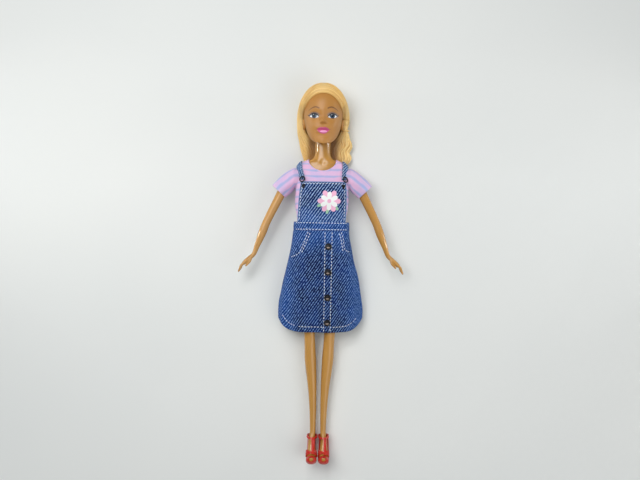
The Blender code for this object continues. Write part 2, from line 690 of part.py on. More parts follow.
FOOT_ROW = 11
for side_name, side in (("left", 1), ("right", -1)):
    joint = leg_pivots[side]
    leg = loft("leg_" + side_name, leg_rings(side, 0, 12), (SKIN, 0.22), joint)
    bore = cylinder(side_name + "_axle_bore", AXLE_RADIUS + GAP,
                    (side * (TONGUE_HALF_WIDTH - GAP), HIP_Y, BODY_MID_Z),
                    (side * (TONGUE_HALF_WIDTH + AXLE_IN_LEG + GAP), HIP_Y, BODY_MID_Z), steps=16)
    boolean(leg, bore)

    # The shoe is the foot's own form grown by a clearance and a wall, opened between its straps.
    shoe = loft("shoe_" + side_name, leg_rings(side, GAP + SHOE_WALL, 12, FOOT_ROW), (RED, 0.3), joint)
    ball_z = ANKLE_Z + BALL_RISE
    toe_z = ANKLE_Z + TOE_RISE
    sole_z = toe_z - PLATFORM_HALF_LENGTH + SHOE_WALL
    foot_x = side * FOOT_X
    platform = turned(side_name + "_platform", ((0, PLATFORM), (1, PLATFORM), (1, 0), (0, 0)),
                      (foot_x, SOLE_Y, sole_z), (0, 1, 0), None, steps=24)
    platform.scale = (PLATFORM_HALF_WIDTH, PLATFORM_HALF_LENGTH, 1)
    boolean(shoe, platform, "UNION")
    heel_y = ANKLE_Y - HEEL_DROP
    stiletto_z = STILETTO_TOP_RADIUS + GAP
    stiletto = turned(side_name + "_stiletto", (
        (0, heel_y - SOLE_Y), (STILETTO_TOP_RADIUS, heel_y - SOLE_Y),
        (STILETTO_TIP_RADIUS, (heel_y - SOLE_Y) * 0.3), (STILETTO_TIP_RADIUS, 0), (0, 0),
    ), (foot_x, SOLE_Y, stiletto_z + GAP), (0, 1, 0), None, steps=12)
    boolean(shoe, stiletto, "UNION")
    boolean(shoe, loft(side_name + "_foot_room", leg_rings(side, GAP, 12, FOOT_ROW - 1), None))
    rise = box(side_name + "_shoe_mouth", (-OVERRUN - FOOT_X, ANKLE_Y - SHOE_TOP_DROP, -OVERRUN),
               (OVERRUN + FOOT_X, ANKLE_Y + OVERRUN * 2, toe_z + OVERRUN))
    boolean(shoe, rise)
    band_low = ANKLE_Y - SHOE_TOP_DROP - STRAP_BAND
    box_top = SOLE_Y + TOE_BOX
    strap_x = side * FOOT_X + T_STRAP_X
    for tag, low, high in (
        ("low_x", strap_x - T_STRAP_HALF_WIDTH - OVERRUN, strap_x - T_STRAP_HALF_WIDTH),
        ("high_x", strap_x + T_STRAP_HALF_WIDTH, strap_x + T_STRAP_HALF_WIDTH + OVERRUN),
    ):
        corners = (low, box_top, ANKLE_Z + GAP), (high, band_low, toe_z + OVERRUN)
        boolean(shoe, box(f"{side_name}_window_{tag}", *corners))
    peep = cylinder(side_name + "_peep", PEEP_RADIUS, (foot_x, SOLE_Y + PLATFORM + PEEP_RADIUS, toe_z),
                    (foot_x, SOLE_Y + PLATFORM + PEEP_RADIUS, toe_z + OVERRUN), steps=12)
    boolean(shoe, peep, "DIFFERENCE", "MANIFOLD")


# Arms: a short stub out of the shoulder, then a bend down into the arm, the hand and the fingers.
def arm_path():
    """Places, directions and half sizes of the arm's sections, for the doll's left arm."""
    shoulder = Vector((ARM_CAP_X, SHOULDER_Y, BODY_MID_Z))

    def along(slant):
        return Vector((math.sin(slant), -math.cos(slant), 0))

    upper = along(UPPER_ARM_SLANT)
    fore = along(FOREARM_SLANT)
    hand = along(HAND_SLANT)
    elbow = shoulder + upper * UPPER_ARM
    wrist = elbow + fore * FOREARM
    knuckle = wrist + hand * PALM
    out = Vector((1, 0, 0))
    seat = Vector((SHOULDER_SEAT_X + GAP, SHOULDER_Y, BODY_MID_Z))
    rows = [
        (seat, out, ARM_CAP_HALF_WIDTH, ARM_CAP_HALF_WIDTH),
        (seat + out * (ARM_CAP_X - SHOULDER_SEAT_X) * 0.4, out, ARM_CAP_HALF_WIDTH * 1.05,
         ARM_CAP_HALF_WIDTH * 1.05),
        (shoulder, (out + upper).normalized(), ARM_CAP_HALF_WIDTH * 0.98, ARM_CAP_HALF_WIDTH),
        (shoulder + upper * UPPER_ARM * 0.16, upper, ARM_CAP_HALF_WIDTH * 0.82, ARM_CAP_HALF_WIDTH * 0.88),
        (shoulder + upper * UPPER_ARM * 0.5, upper, UPPER_ARM_HALF_WIDTH, UPPER_ARM_HALF_WIDTH * 1.05),
        (elbow, (upper + fore).normalized(), ELBOW_HALF_WIDTH, ELBOW_HALF_WIDTH),
        (elbow + fore * FOREARM * 0.35, fore, FOREARM_HALF_WIDTH * 1.04, FOREARM_HALF_WIDTH * 1.04),
        (elbow + fore * FOREARM * 0.75, fore, FOREARM_HALF_WIDTH * 0.72, FOREARM_HALF_WIDTH * 0.74),
        (wrist, (fore + hand).normalized(), WRIST_HALF_WIDTH, WRIST_HALF_WIDTH * 1.15),
        (wrist + hand * PALM * 0.4, hand, PALM_HALF_WIDTH, PALM_HALF_DEPTH * 0.86),
        (wrist + hand * PALM * 0.8, hand, PALM_HALF_WIDTH, PALM_HALF_DEPTH),
        (knuckle, hand, PALM_HALF_WIDTH * 0.8, PALM_HALF_DEPTH * 0.96),
    ]
    return rows, wrist, knuckle, hand, along(FINGER_SLANT)


def arm_rings(side, rows, sides):
    """Rings square to the arm's path, mirrored for the right arm."""
    rings = []
    for place, direction, half_width, half_depth in rows:
        across = Vector((-direction.y, direction.x, 0))
        ring = []
        for index in range(sides):
            wide, up = oval(TURN * index / sides, half_width, half_depth, half_depth, ROUND)
            point = place + across * wide
            ring.append((side * point.x, point.y, point.z + up))
        rings.append(ring)
    return rings


def digit(side, name, start, heading, turned_heading, length):
    """A finger: four sections along two bones, thinner towards the tip."""
    bend = start + heading * length * 0.4
    half = FINGER_HALF_WIDTH
    rows = [
        (start, heading, half, half),
        (bend, (heading + turned_heading).normalized(), half, half * 0.95),
        (bend + turned_heading * length * 0.45, turned_heading, half * 0.8, half * 0.8),
        (bend + turned_heading * length * 0.6, turned_heading, half * 0.4, half * 0.4),
    ]
    return loft(name, arm_rings(side, rows, 6), None)


for side_name, side in (("left", 1), ("right", -1)):
    joint = arm_pivots[side]
    rows, wrist, knuckle, hand, droop = arm_path()
    arm = loft("arm_" + side_name, arm_rings(side, rows, 12), (SKIN, 0.22), joint)
    for index, share in enumerate(FINGER_SHARES):
        shift = Vector((0, 0, (1.5 - index) * FINGER_PITCH))
        start = knuckle - hand * FINGER_HALF_WIDTH * 1.5 + shift
        finger = digit(side, f"{side_name}_finger_{index}", start, hand, droop, FINGER_LENGTH * share)
        boolean(arm, finger, "UNION")
    aside = Vector((-math.cos(HAND_SLANT), -math.sin(HAND_SLANT), 0))
    thumb_start = wrist + hand * PALM * 0.3 + aside * PALM_HALF_WIDTH * 0.4
    thumb_start.z += PALM_HALF_DEPTH * 0.5
    inward = (hand + aside * 0.5 + Vector((0, 0, 0.25))).normalized()
    outward = (hand + aside * 0.12).normalized()
    boolean(arm, digit(side, side_name + "_thumb", thumb_start, inward, outward, THUMB_LENGTH), "UNION")
    seat = side * (SHOULDER_SEAT_X + GAP)
    bore = cylinder(side_name + "_peg_bore", PEG_RADIUS + GAP, (seat - side * GAP, SHOULDER_Y, BODY_MID_Z),
                    (seat + side * (PEG_IN_ARM + GAP), SHOULDER_Y, BODY_MID_Z), steps=16)
    boolean(arm, bore)
    flange_x = SHOULDER_SEAT_X - PEG_IN_BODY
    end = SHOULDER_SEAT_X + GAP + PEG_IN_ARM - flange_x + PEG_FLANGE
    turned("shoulder_peg_" + side_name, (
        (0, end), (PEG_RADIUS * 0.8, end), (PEG_RADIUS, end - PEG_RADIUS * 0.5), (PEG_RADIUS, PEG_FLANGE),
        (PEG_FLANGE_RADIUS, PEG_FLANGE), (PEG_FLANGE_RADIUS * 0.8, 0), (0, 0),
    ), (side * (flange_x - PEG_FLANGE), SHOULDER_Y, BODY_MID_Z), (side, 0, 0), (NATURAL, 0.4), joint)


# Head: horizontal sections whose front hangs lower at the jaw, with nose, lips and eye hollows.
FACE_DEPTH = FACE_Z - HEAD_MID_Z
CHIN_DEPTH = CHIN_Z - HEAD_MID_Z
SKULL_DEPTH = HEAD_MID_Z - SKULL_Z
HEAD_TABLE = (
    (CHIN_Y + JAW_RISE, JAW_HALF_WIDTH * 0.85, CHIN_DEPTH * 0.84, SKULL_DEPTH * 0.62, JAW_DROP),
    (CHIN_Y + JAW_RISE * 1.04, JAW_HALF_WIDTH, CHIN_DEPTH, SKULL_DEPTH * 0.74, JAW_DROP * 1.04),
    (CHIN_Y + CHIN_TO_CROWN * 0.15, FACE_HALF_WIDTH * 0.71, CHIN_DEPTH * 1.03, SKULL_DEPTH * 0.83,
     JAW_DROP * 0.9),
    (CHIN_Y + CHIN_TO_CROWN * 0.22, FACE_HALF_WIDTH * 0.83, CHIN_DEPTH * 1.05, SKULL_DEPTH * 0.9,
     JAW_DROP * 0.6),
    (CHIN_Y + CHIN_TO_CROWN * 0.34, FACE_HALF_WIDTH * 0.94, FACE_DEPTH * 0.94, SKULL_DEPTH * 0.96, 0),
    (CHIN_Y + CHIN_TO_CROWN * 0.46, FACE_HALF_WIDTH, FACE_DEPTH * 0.94, SKULL_DEPTH, 0),
    (CHIN_Y + CHIN_TO_CROWN * 0.60, FACE_HALF_WIDTH, FACE_DEPTH, SKULL_DEPTH, 0),
    (CHIN_Y + CHIN_TO_CROWN * 0.75, FACE_HALF_WIDTH * 0.96, FACE_DEPTH * 0.94, SKULL_DEPTH * 0.92, 0),
    (CHIN_Y + CHIN_TO_CROWN * 0.87, FACE_HALF_WIDTH * 0.82, FACE_DEPTH * 0.75, SKULL_DEPTH * 0.73, 0),
    (CHIN_Y + CHIN_TO_CROWN * 0.95, FACE_HALF_WIDTH * 0.58, FACE_DEPTH * 0.50, SKULL_DEPTH * 0.5, 0),
    (CROWN_Y, FACE_HALF_WIDTH * 0.2, FACE_DEPTH * 0.16, SKULL_DEPTH * 0.16, 0),
)


def bump(distance, reach):
    return math.exp(-(distance / reach) ** 2)


def face_relief(x, y):
    """How far the face stands out of the plain oval at a place seen from the front."""
    up = y - CHIN_Y
    nose_reach = EYE_HALF_WIDTH if up > NOSE_ABOVE_CHIN else NOSE_HALF_WIDTH
    relief = NOSE_HEIGHT * bump(x, NOSE_HALF_WIDTH) * bump(up - NOSE_ABOVE_CHIN, nose_reach)
    relief += LIP_HEIGHT * bump(x, LIPS_HALF_WIDTH) * bump(up - LIPS_ABOVE_CHIN, NOSE_HALF_WIDTH)
    relief -= EYE_DEPTH * bump(abs(x) - EYE_X, EYE_HALF_WIDTH) * bump(up - EYES_ABOVE_CHIN, NOSE_HALF_WIDTH)
    return relief


def head_rings(low, high, count, grow, sides, plain=False):
    rings = []
    for place in spread(low, high, count):
        half_width, front, back, drop = read(HEAD_TABLE, place)
        lengthen = 0 if plain else grow * (2 * (place - low) / (high - low) - 1)
        ring = []
        for index in range(sides):
            angle = TURN * index / sides
            x, z = oval(angle, half_width + grow, front + grow, back + grow, ROUND)
            y = place if plain else place - drop * max(z, 0) / CHIN_DEPTH
            if z > 0 and not plain:
                z += face_relief(x, y)
            ring.append((x, y + lengthen, HEAD_MID_Z + z))
        rings.append(ring)
    return rings


HEAD_LOW = HEAD_TABLE[0][0]
head = loft("head", head_rings(HEAD_LOW, CROWN_Y, 22, 0, 24), (VINYL, 0.5), head_pivot)


def ear(name, side, grow):
    """An ear, or the room that it needs."""
    build = bmesh.new()
    place = Matrix.Translation((side * FACE_HALF_WIDTH, CHIN_Y + EAR_ABOVE_CHIN, EAR_Z))
    size = (EAR_HALF_WIDTH + grow, EAR_HALF_LENGTH + grow, EAR_HALF_DEPTH + grow, 1)
    bmesh.ops.create_uvsphere(build, u_segments=10, v_segments=8, radius=1,
                              matrix=place @ Matrix.Diagonal(size))
    mesh = bpy.data.meshes.new(name)
    build.to_mesh(mesh)
    build.free()
    return put(name, mesh, None)


for side_name, side in (("left", 1), ("right", -1)):
    boolean(head, ear(side_name + "_ear", side, 0), "UNION")
SEAT_Y = NECK_TOP_Y + GAP
FLOOR_Y = SEAT_Y + HEAD_WALL
boolean(head, loft("head_cavity", head_rings(FLOOR_Y, CROWN_Y - HEAD_WALL, 9, -HEAD_WALL, 14, True), None))
boolean(head, cylinder("neck_seat", NECK_SEAT_RADIUS, (0, CHIN_Y - OVERRUN, BODY_MID_Z),
                       (0, SEAT_Y, BODY_MID_Z), steps=20))
boolean(head, cylinder("knob_bore", KNOB_SHANK_RADIUS + GAP, (0, CHIN_Y, BODY_MID_Z),
                       (0, FLOOR_Y + GAP, BODY_MID_Z), steps=16))

# Hair over the skull, open at the face.
HAIR_LOW = CHIN_Y + HAIR_BOTTOM_ABOVE_CHIN
HAIR_SPAN = HAIR_TOP_Y - HAIR_LOW
EAR_TOP_Y = CHIN_Y + EAR_ABOVE_CHIN + EAR_HALF_LENGTH
HAIR_TABLE = (
    (HAIR_LOW, HAIR_BOTTOM_HALF_WIDTH, HAIR_BOTTOM_Z, -HAIR_BACK_SAG),
    (HAIR_LOW + HAIR_SPAN * 0.16, HAIR_HALF_WIDTH * 0.95, HAIR_BOTTOM_Z * 1.2, -HAIR_BACK_SAG),
    (EAR_TOP_Y - EAR_HALF_LENGTH, HAIR_HALF_WIDTH, HAIR_SIDE_Z, -HAIR_BACK_SAG),
    (EAR_TOP_Y + EAR_HALF_LENGTH, HAIR_HALF_WIDTH, HAIR_FRONT_Z * 0.74, -HAIR_BACK_SAG),
    (HAIR_LOW + HAIR_SPAN * 0.58, HAIR_HALF_WIDTH * 0.985, HAIR_FRONT_Z * 0.92, -HAIR_BACK_SAG),
    (HAIR_LOW + HAIR_SPAN * 0.72, HAIR_HALF_WIDTH * 0.9, HAIR_FRONT_Z, SKULL_Z * 0.4),
    (HAIR_LOW + HAIR_SPAN * 0.86, HAIR_HALF_WIDTH * 0.68, HAIR_FRONT_Z * 0.98, SKULL_Z * 1.6),
    (HAIR_LOW + HAIR_SPAN * 0.95, HAIR_HALF_WIDTH * 0.42, HAIR_FRONT_Z * 0.88, SKULL_Z * 3),
    (HAIR_TOP_Y, HAIR_HALF_WIDTH * 0.1, HAIR_FRONT_Z * 0.7, SKULL_Z * 5),
)


def hair_rings(count, sides):
    rings = []
    for place in spread(HAIR_LOW, HAIR_TOP_Y, count):
        half_width, front_z, back_z = read(HAIR_TABLE, place)
        middle = (front_z + back_z) / 2
        ring = []
        for index in range(sides):
            x, z = oval(TURN * index / sides, half_width, front_z - middle, middle - back_z)
            ring.append((x, place, max(middle + z, 0)))
        rings.append(ring)
    return rings


cap = loft("hair_cap", hair_rings(13, 20), (GOLD_HAIR, 0.4), head_pivot)
room_rings = head_rings(HEAD_TABLE[1][0], CROWN_Y, 13, GAP * 2, 18)
room_rings.insert(0, [(x, y - HEAD_WALL, z) for x, y, z in room_rings[0]])
boolean(cap, loft("skull_room", room_rings, None))
HAIRLINE_Y = CHIN_Y + HAIRLINE_ABOVE_CHIN
face_half = FACE_HALF_WIDTH + GAP
face_ring = []
for index in range(24):
    angle = TURN * index / 24
    face_ring.append((face_half * math.cos(angle), math.sin(angle)))
FACE_LOW_SPAN = CHIN_TO_CROWN
FACE_HIGH_SPAN = HAIRLINE_Y - EAR_TOP_Y
face_rings = []
for height in (HEAD_MID_Z - EAR_HALF_DEPTH, FACE_Z + OVERRUN):
    ring = []
    for x, share in face_ring:
        span = FACE_HIGH_SPAN if share >= 0 else FACE_LOW_SPAN
        ring.append((x, EAR_TOP_Y + span * share, height))
    face_rings.append(ring)
boolean(cap, loft("face_opening", face_rings, None))
for side_name, side in (("left", 1), ("right", -1)):
    boolean(cap, ear(side_name + "_ear_room", side, GAP), "DIFFERENCE", "MANIFOLD")

# The front section swept from a peak to both sides, and the lock over the left shoulder.
ROLL_TABLE = (
    (0.0, 0, HAIRLINE_Y + ROLL_RADIUS, HAIR_FRONT_Z - ROLL_RADIUS * 0.2, ROLL_RADIUS * 0.8),
    (0.3, FACE_HALF_WIDTH * 0.5, HAIRLINE_Y - ROLL_RADIUS * 0.4, HAIR_FRONT_Z, ROLL_RADIUS),
    (0.6, FACE_HALF_WIDTH * 0.92, HAIRLINE_Y - ROLL_RADIUS * 3, HAIR_FRONT_Z * 0.91, ROLL_RADIUS),
    (0.85, HAIR_HALF_WIDTH * 0.86, EAR_TOP_Y + ROLL_RADIUS * 2.2, HAIR_FRONT_Z * 0.78, ROLL_RADIUS * 0.9),
    (1.0, HAIR_HALF_WIDTH * 0.9, EAR_TOP_Y, HAIR_FRONT_Z * 0.6, ROLL_TIP_RADIUS),
)
for side_name, side in (("left", 1), ("right", -1)):
    points, radii = route(ROLL_TABLE, 11)
    points = [Vector((side * (point.x + ROLL_RADIUS / 2), point.y, point.z)) for point in points]
    tube("hair_roll_" + side_name, points, radii, (GOLD_HAIR, 0.4), head_pivot)
    wide = [radius + GAP for radius in radii]
    points[0] += (points[0] - points[1]).normalized() * GAP
    points[-1] += (points[-1] - points[-2]).normalized() * GAP
    boolean(cap, tube(side_name + "_roll_room", points, wide, None))

FALL_HIGH = HAIR_LOW - GAP
FALL_TABLE = ((0.0, FALL_START_Z), (0.25, FALL_TOP_Z), (1.0, FALL_END_Z))
fall_rings = []
for share in spread(0, 1, 5):
    place = FALL_HIGH - FALL_LENGTH * share
    top_z = read(FALL_TABLE, share)[0]
    ring = []
    for index in range(14):
        x, z = oval(TURN * index / 14, FALL_HALF_WIDTH, top_z / 2, top_z / 2)
        ring.append((x, place, top_z / 2 + z))
    fall_rings.append(ring)
loft("hair_fall", fall_rings, (GOLD_HAIR, 0.4), head_pivot)

LOCK_ROWS = {
    -1: (
        (0.0, RIGHT_LOCK_X, FALL_HIGH, LOCK_Z * 0.62, RIGHT_LOCK_HALF_WIDTH * 0.9, LOCK_HALF_DEPTH),
        (0.5, RIGHT_LOCK_X, FALL_HIGH - RIGHT_LOCK_LENGTH / 2, LOCK_Z * 0.55, RIGHT_LOCK_HALF_WIDTH,
         LOCK_HALF_DEPTH),
        (1.0, RIGHT_LOCK_END_X, FALL_HIGH - RIGHT_LOCK_LENGTH, LOCK_END_Z, RIGHT_LOCK_HALF_WIDTH * 0.6,
         LOCK_HALF_DEPTH * 0.6),
    ),
    1: (
        (0.0, LEFT_LOCK_X + TIE_RADIUS / 2, CHIN_Y + LEFT_LOCK_ABOVE_CHIN, LEFT_LOCK_TOP_Z, TIE_RADIUS * 0.8,
         TIE_RADIUS * 0.8),
        (0.12, LEFT_LOCK_X + TIE_RADIUS / 2, CHIN_Y + LEFT_LOCK_ABOVE_CHIN - LEFT_LOCK_LENGTH * 0.12,
         LEFT_LOCK_TOP_Z * 0.96, TIE_RADIUS * 0.8, TIE_RADIUS * 0.8),
        (0.3, LEFT_LOCK_X, CHIN_Y + LEFT_LOCK_ABOVE_CHIN - LEFT_LOCK_LENGTH * 0.3, LOCK_Z,
         LEFT_LOCK_HALF_WIDTH * 0.8, LOCK_HALF_DEPTH),
        (0.65, LEFT_LOCK_X * 0.97, CHIN_Y + LEFT_LOCK_ABOVE_CHIN - LEFT_LOCK_LENGTH * 0.65, LOCK_Z * 0.55,
         LEFT_LOCK_HALF_WIDTH, LOCK_HALF_DEPTH),
        (1.0, LEFT_LOCK_X * 0.92, CHIN_Y + LEFT_LOCK_ABOVE_CHIN - LEFT_LOCK_LENGTH, LOCK_END_Z,
         LEFT_LOCK_HALF_WIDTH * 0.45, LOCK_HALF_DEPTH * 0.6),
    ),
}


def lock_rings(side, grow, sides, count):
    rings = []
    for share in spread(0, 1, count):
        x, y, z, half_width, half_depth = read(LOCK_ROWS[side], share)
        ring = []
        for index in range(sides):
            across, up = oval(TURN * index / sides, half_width + grow, half_depth + grow,
                              half_depth + grow, ROUND)
            ring.append((side * (x + across), y, z + up))
        rings.append(ring)
    return rings


loft("hair_lock_right", lock_rings(-1, 0, 10, 5), (GOLD_HAIR, 0.4), head_pivot)
loft("hair_lock_left", lock_rings(1, 0, 10, 10), (GOLD_HAIR, 0.4), head_pivot)
boolean(cap, loft("lock_room", lock_rings(1, GAP, 10, 10), None))

# A small tie round the top of the left lock.
tie_x, tie_y, tie_z, tie_half, tie_depth = read(LOCK_ROWS[1], 0.08)
tie_gap = tie_half + GAP * 1.5 + TIE_WIRE
turned("hair_tie", (
    (tie_gap + TIE_WIRE, TIE_WIRE), (tie_gap + TIE_WIRE, -TIE_WIRE),
    (tie_gap - TIE_WIRE, -TIE_WIRE), (tie_gap - TIE_WIRE, TIE_WIRE),
), (tie_x, tie_y, tie_z), (0, 1, 0), (GOLD_HAIR, 0.5), head_pivot, 12)
boolean(cap, cylinder("tie_room", tie_gap + TIE_WIRE + GAP, (tie_x, tie_y - TIE_WIRE - GAP, tie_z),
                      (tie_x, tie_y + TIE_WIRE + GAP, tie_z), steps=12))


# T-shirt: a sheet round the torso, open down the middle of the back.
def shirt_section(place):
    """Half width, front and back of the T-shirt's inner face."""
    half_width, front, back = read(TORSO_TABLE, place)
    share = min(max((SHOULDER_Y - place) / BUST_TO_SHOULDER, 0), 2)
    return half_width + SHIRT_EASE + SHIRT_SIDE_EASE * share, front + SHIRT_EASE, back + SHIRT_EASE


def shirt_square(place):
    """The power of the T-shirt's section: squarer where the sleeves are sewn on."""
    return SQUARE + (SHIRT_SQUARE - SQUARE) * bump(place - SHOULDER_Y, BUST_TO_SHOULDER)


def shirt_point(angle, place, out):
    half_width, front, back = shirt_section(place)
    x, z = oval(angle, half_width + out, front + out, back + out, shirt_square(place))
    return Vector((x, place, BODY_MID_Z + z))


SHIRT_LOW = WAIST_Y + SHIRT_BOTTOM_ABOVE_WAIST
SLEEVE_SEAM_X = CHEST_HALF_WIDTH + SHIRT_EASE + SHIRT_WALL + SHIRT_SIDE_EASE * 0.6 + GAP
slit = SHIRT_OPENING / 2 / CHEST_HALF_WIDTH
rows = []
for place in spread(SHIRT_LOW, SHOULDER_Y, 7) + COLLAR_PLACES:
    angles = spread(-QUARTER + slit, TURN - QUARTER - slit, 25)
    rows.append([shirt_point(angle, place, 0) for angle in angles])
shirt = sheet("shirt_body", rows, SHIRT_WALL, (PINK, 0.85))
NECKLINE_Y = SHOULDER_Y + NECKLINE_ABOVE_SHOULDER + NECKLINE_LENGTH / 2
neckline = turned("neckline", ((0, 1), (1, 1), (1, -1), (0, -1)),
                  (0, NECKLINE_Y, BODY_MID_Z + BUST_DEPTH / 2),
                  (0, math.sin(NECKLINE_TILT), math.cos(NECKLINE_TILT)),
                  None, steps=24)
neckline.scale = (NECKLINE_HALF_WIDTH, NECKLINE_LENGTH / 2, NECKLINE_LENGTH * 2)
boolean(shirt, neckline)
for side_name, side in (("left", 1), ("right", -1)):
    boolean(shirt, cylinder(side_name + "_armhole", ARMHOLE_RADIUS,
                            (side * (SHOULDER_SEAT_X - SHIRT_WALL), SHOULDER_Y, BODY_MID_Z),
                            (side * (SLEEVE_SEAM_X + OVERRUN), SHOULDER_Y, BODY_MID_Z)))
    joint = arm_pivots[side]
    seam = Vector((SLEEVE_SEAM_X + SLEEVE_LEAD, SHOULDER_Y, BODY_MID_Z))
    hem = seam + Vector((SLEEVE_REACH, -SLEEVE_DROP, 0))
    rows = []
    for share in [-1] + spread(0, 1, 5):
        lead = Vector((SLEEVE_LEAD * min(share, 0), 0, 0))
        share = max(share, 0)
        slant = QUARTER + (SLEEVE_SLANT - QUARTER) * share ** 0.7
        direction = Vector((math.sin(slant), -math.cos(slant), 0))
        across = Vector((-direction.y, direction.x, 0))
        sag = math.sin(math.pi * share) * SLEEVE_DROP * 0.06
        centre = seam.lerp(hem, share) + Vector((0, sag, 0)) + lead
        wide = SLEEVE_SEAM_RADIUS + (SLEEVE_HEM_HALF_WIDTH - SLEEVE_SEAM_RADIUS) * share
        deep = SLEEVE_SEAM_RADIUS + (SLEEVE_HEM_HALF_DEPTH - SLEEVE_SEAM_RADIUS) * share
        row = []
        for index in range(16):
            a, b = oval(TURN * index / 16, wide, deep, deep, ROUND)
            point = centre + across * a
            row.append((side * point.x, point.y, point.z + b))
        rows.append(row if side > 0 else list(reversed(row)))
    sheet("sleeve_" + side_name, rows, SHIRT_WALL, (PINK, 0.85), joint, -1.0, True)


# Dress: bib and back panels lie on the T-shirt, one clearance out from it.
OVER_SHIRT = SHIRT_WALL + GAP


def on_shirt(x, place, out, front=True):
    """A point over the T-shirt's outer face at a place seen from the front or from behind."""
    half_width, fore, back = shirt_section(place)
    half_width += out
    share = min(abs(x) / half_width, 1)
    square = shirt_square(place)
    lift = (1 - share ** square) ** (1 / square)
    depth = (fore + out) * lift if front else -(back + out) * lift
    return Vector((x, place, BODY_MID_Z + depth))


WAISTBAND_HIGH = WAIST_Y - WAISTBAND_UNDER_WAIST + WAISTBAND
BIB_LOW = WAISTBAND_HIGH + GAP
rows = []
for share in spread(0, 1, 9):
    place = BIB_LOW + BIB_LENGTH * share
    wide = BIB_HALF_WIDTH + (BIB_TOP_HALF_WIDTH - BIB_HALF_WIDTH) * share ** 3
    xs = [wide * math.sin(turn) / math.sin(BIB_WRAP) for turn in spread(-BIB_WRAP, BIB_WRAP, 13)]
    rows.append([on_shirt(x, place, OVER_SHIRT + GAP / 2) for x in xs])
sheet("bib", rows, CLOTH, (DENIM, 0.8), None, -1.0)
for side_name, side in (("left", 1), ("right", -1)):
    rows = []
    for share in spread(0, 1, 5):
        place = BIB_LOW + BACK_PANEL_LENGTH * share
        wide = BACK_PANEL_HALF_WIDTH * (1 - 0.25 * share)
        xs = spread(side * BACK_OPENING / 2, side * wide, 6)
        row = [on_shirt(x, place, OVER_SHIRT, False) for x in xs]
        rows.append(row if side > 0 else list(reversed(row)))
    sheet("dress_back_" + side_name, rows, CLOTH, (DENIM, 0.8), None, 1.0)

# Waistband: a band round the waist, open at the middle of the back.
BAND_TOP_TABLE = (
    (0, WAISTBAND_HALF_WIDTH, WAISTBAND_FRONT_Z, WAISTBAND_BACK_Z),
    (1, SKIRT_TOP_HALF_WIDTH, SKIRT_FRONT_Z, WAISTBAND_BACK_Z * 0.6),
)
rows = []
for share in spread(0, 1, 3):
    half_width, front_z, back_z = read(BAND_TOP_TABLE, share)
    row = []
    opening = BACK_OPENING / 2 / half_width
    for angle in spread(-QUARTER + opening, TURN - QUARTER - opening, 33):
        x, z = oval(angle, half_width, front_z - SKIRT_SEAM_Z, SKIRT_SEAM_Z - back_z)
        row.append((x, WAISTBAND_HIGH - WAISTBAND * share, SKIRT_SEAM_Z + z))
    rows.append(row)
sheet("waistband", rows, CLOTH, (DENIM, 0.8), None, 1.0)

# Skirt: a front and a back panel, one clearance apart at the side seams, wider and lower at the hem.
SKIRT_HIGH = WAISTBAND_HIGH - WAISTBAND - GAP
FLARE = SKIRT_HEM_HALF_WIDTH - SKIRT_TOP_HALF_WIDTH
SKIRT_TABLE = (
    (0.0, SKIRT_TOP_HALF_WIDTH, SKIRT_FRONT_Z, WAISTBAND_BACK_Z * 0.6, SKIRT_SEAM_Z),
    (0.08, SKIRT_TOP_HALF_WIDTH + FLARE * 0.07, SKIRT_FRONT_Z, 0, SKIRT_SEAM_Z),
    (0.27, SKIRT_TOP_HALF_WIDTH + FLARE * 0.30, SKIRT_FRONT_Z, -SKIRT_BACK_SAG, SKIRT_SEAM_Z * 0.9),
    (0.46, SKIRT_TOP_HALF_WIDTH + FLARE * 0.62, SKIRT_FRONT_Z * 0.97, -SKIRT_BACK_SAG, SKIRT_SEAM_Z * 0.7),
    (0.71, SKIRT_TOP_HALF_WIDTH + FLARE * 0.92, SKIRT_FRONT_Z * 0.86, -SKIRT_BACK_SAG, SKIRT_SEAM_Z * 0.5),
    (0.88, SKIRT_TOP_HALF_WIDTH + FLARE * 1.0, SKIRT_HEM_FRONT_Z * 1.07, -SKIRT_BACK_SAG, SKIRT_HEM_SEAM_Z),
    (1.0, SKIRT_HEM_HALF_WIDTH, SKIRT_HEM_FRONT_Z, -SKIRT_BACK_SAG, SKIRT_HEM_SEAM_Z),
)
FOLDS = 5


def skirt_point(share, angle, out):
    """A point of the skirt at a share of its length and an angle round it."""
    half_width, front_z, back_z, seam_z = read(SKIRT_TABLE, share)
    fold = FOLD_DEPTH * share * math.sin(FOLDS * 2 * angle)
    square = SKIRT_SQUARE + (ROUND - SKIRT_SQUARE) * share
    x, z = oval(angle, half_width + out + fold, front_z - seam_z + out + fold, seam_z - back_z + out, square)
    corner = HEM_CORNER_RISE * abs(x / half_width) ** 6 * share ** 3
    return Vector((x, SKIRT_HIGH - SKIRT_LENGTH * share + corner, max(seam_z + z, 0)))


for half_name, start, columns in (("front", 0, 21), ("back", math.pi, 17)):
    rows = []
    for share in spread(0, 1, 9):
        seam = GAP / SKIRT_SEAM_Z * 2
        angles = spread(start + seam, start + math.pi - seam, columns)
        rows.append([skirt_point(share, angle, 0) for angle in angles])
    sheet("skirt_" + half_name, rows, CLOTH, (DENIM, 0.8), None, 1.0)


def on_skirt(x, share, out):
    """A point over the skirt's front, at an x and a share of the length."""
    half_width, front_z, back_z, seam_z = read(SKIRT_TABLE, share)
    square = SKIRT_SQUARE + (ROUND - SKIRT_SQUARE) * share
    angle = math.acos(min(x / (half_width + out), 1) ** (square / 2))
    return skirt_point(share, angle, out)


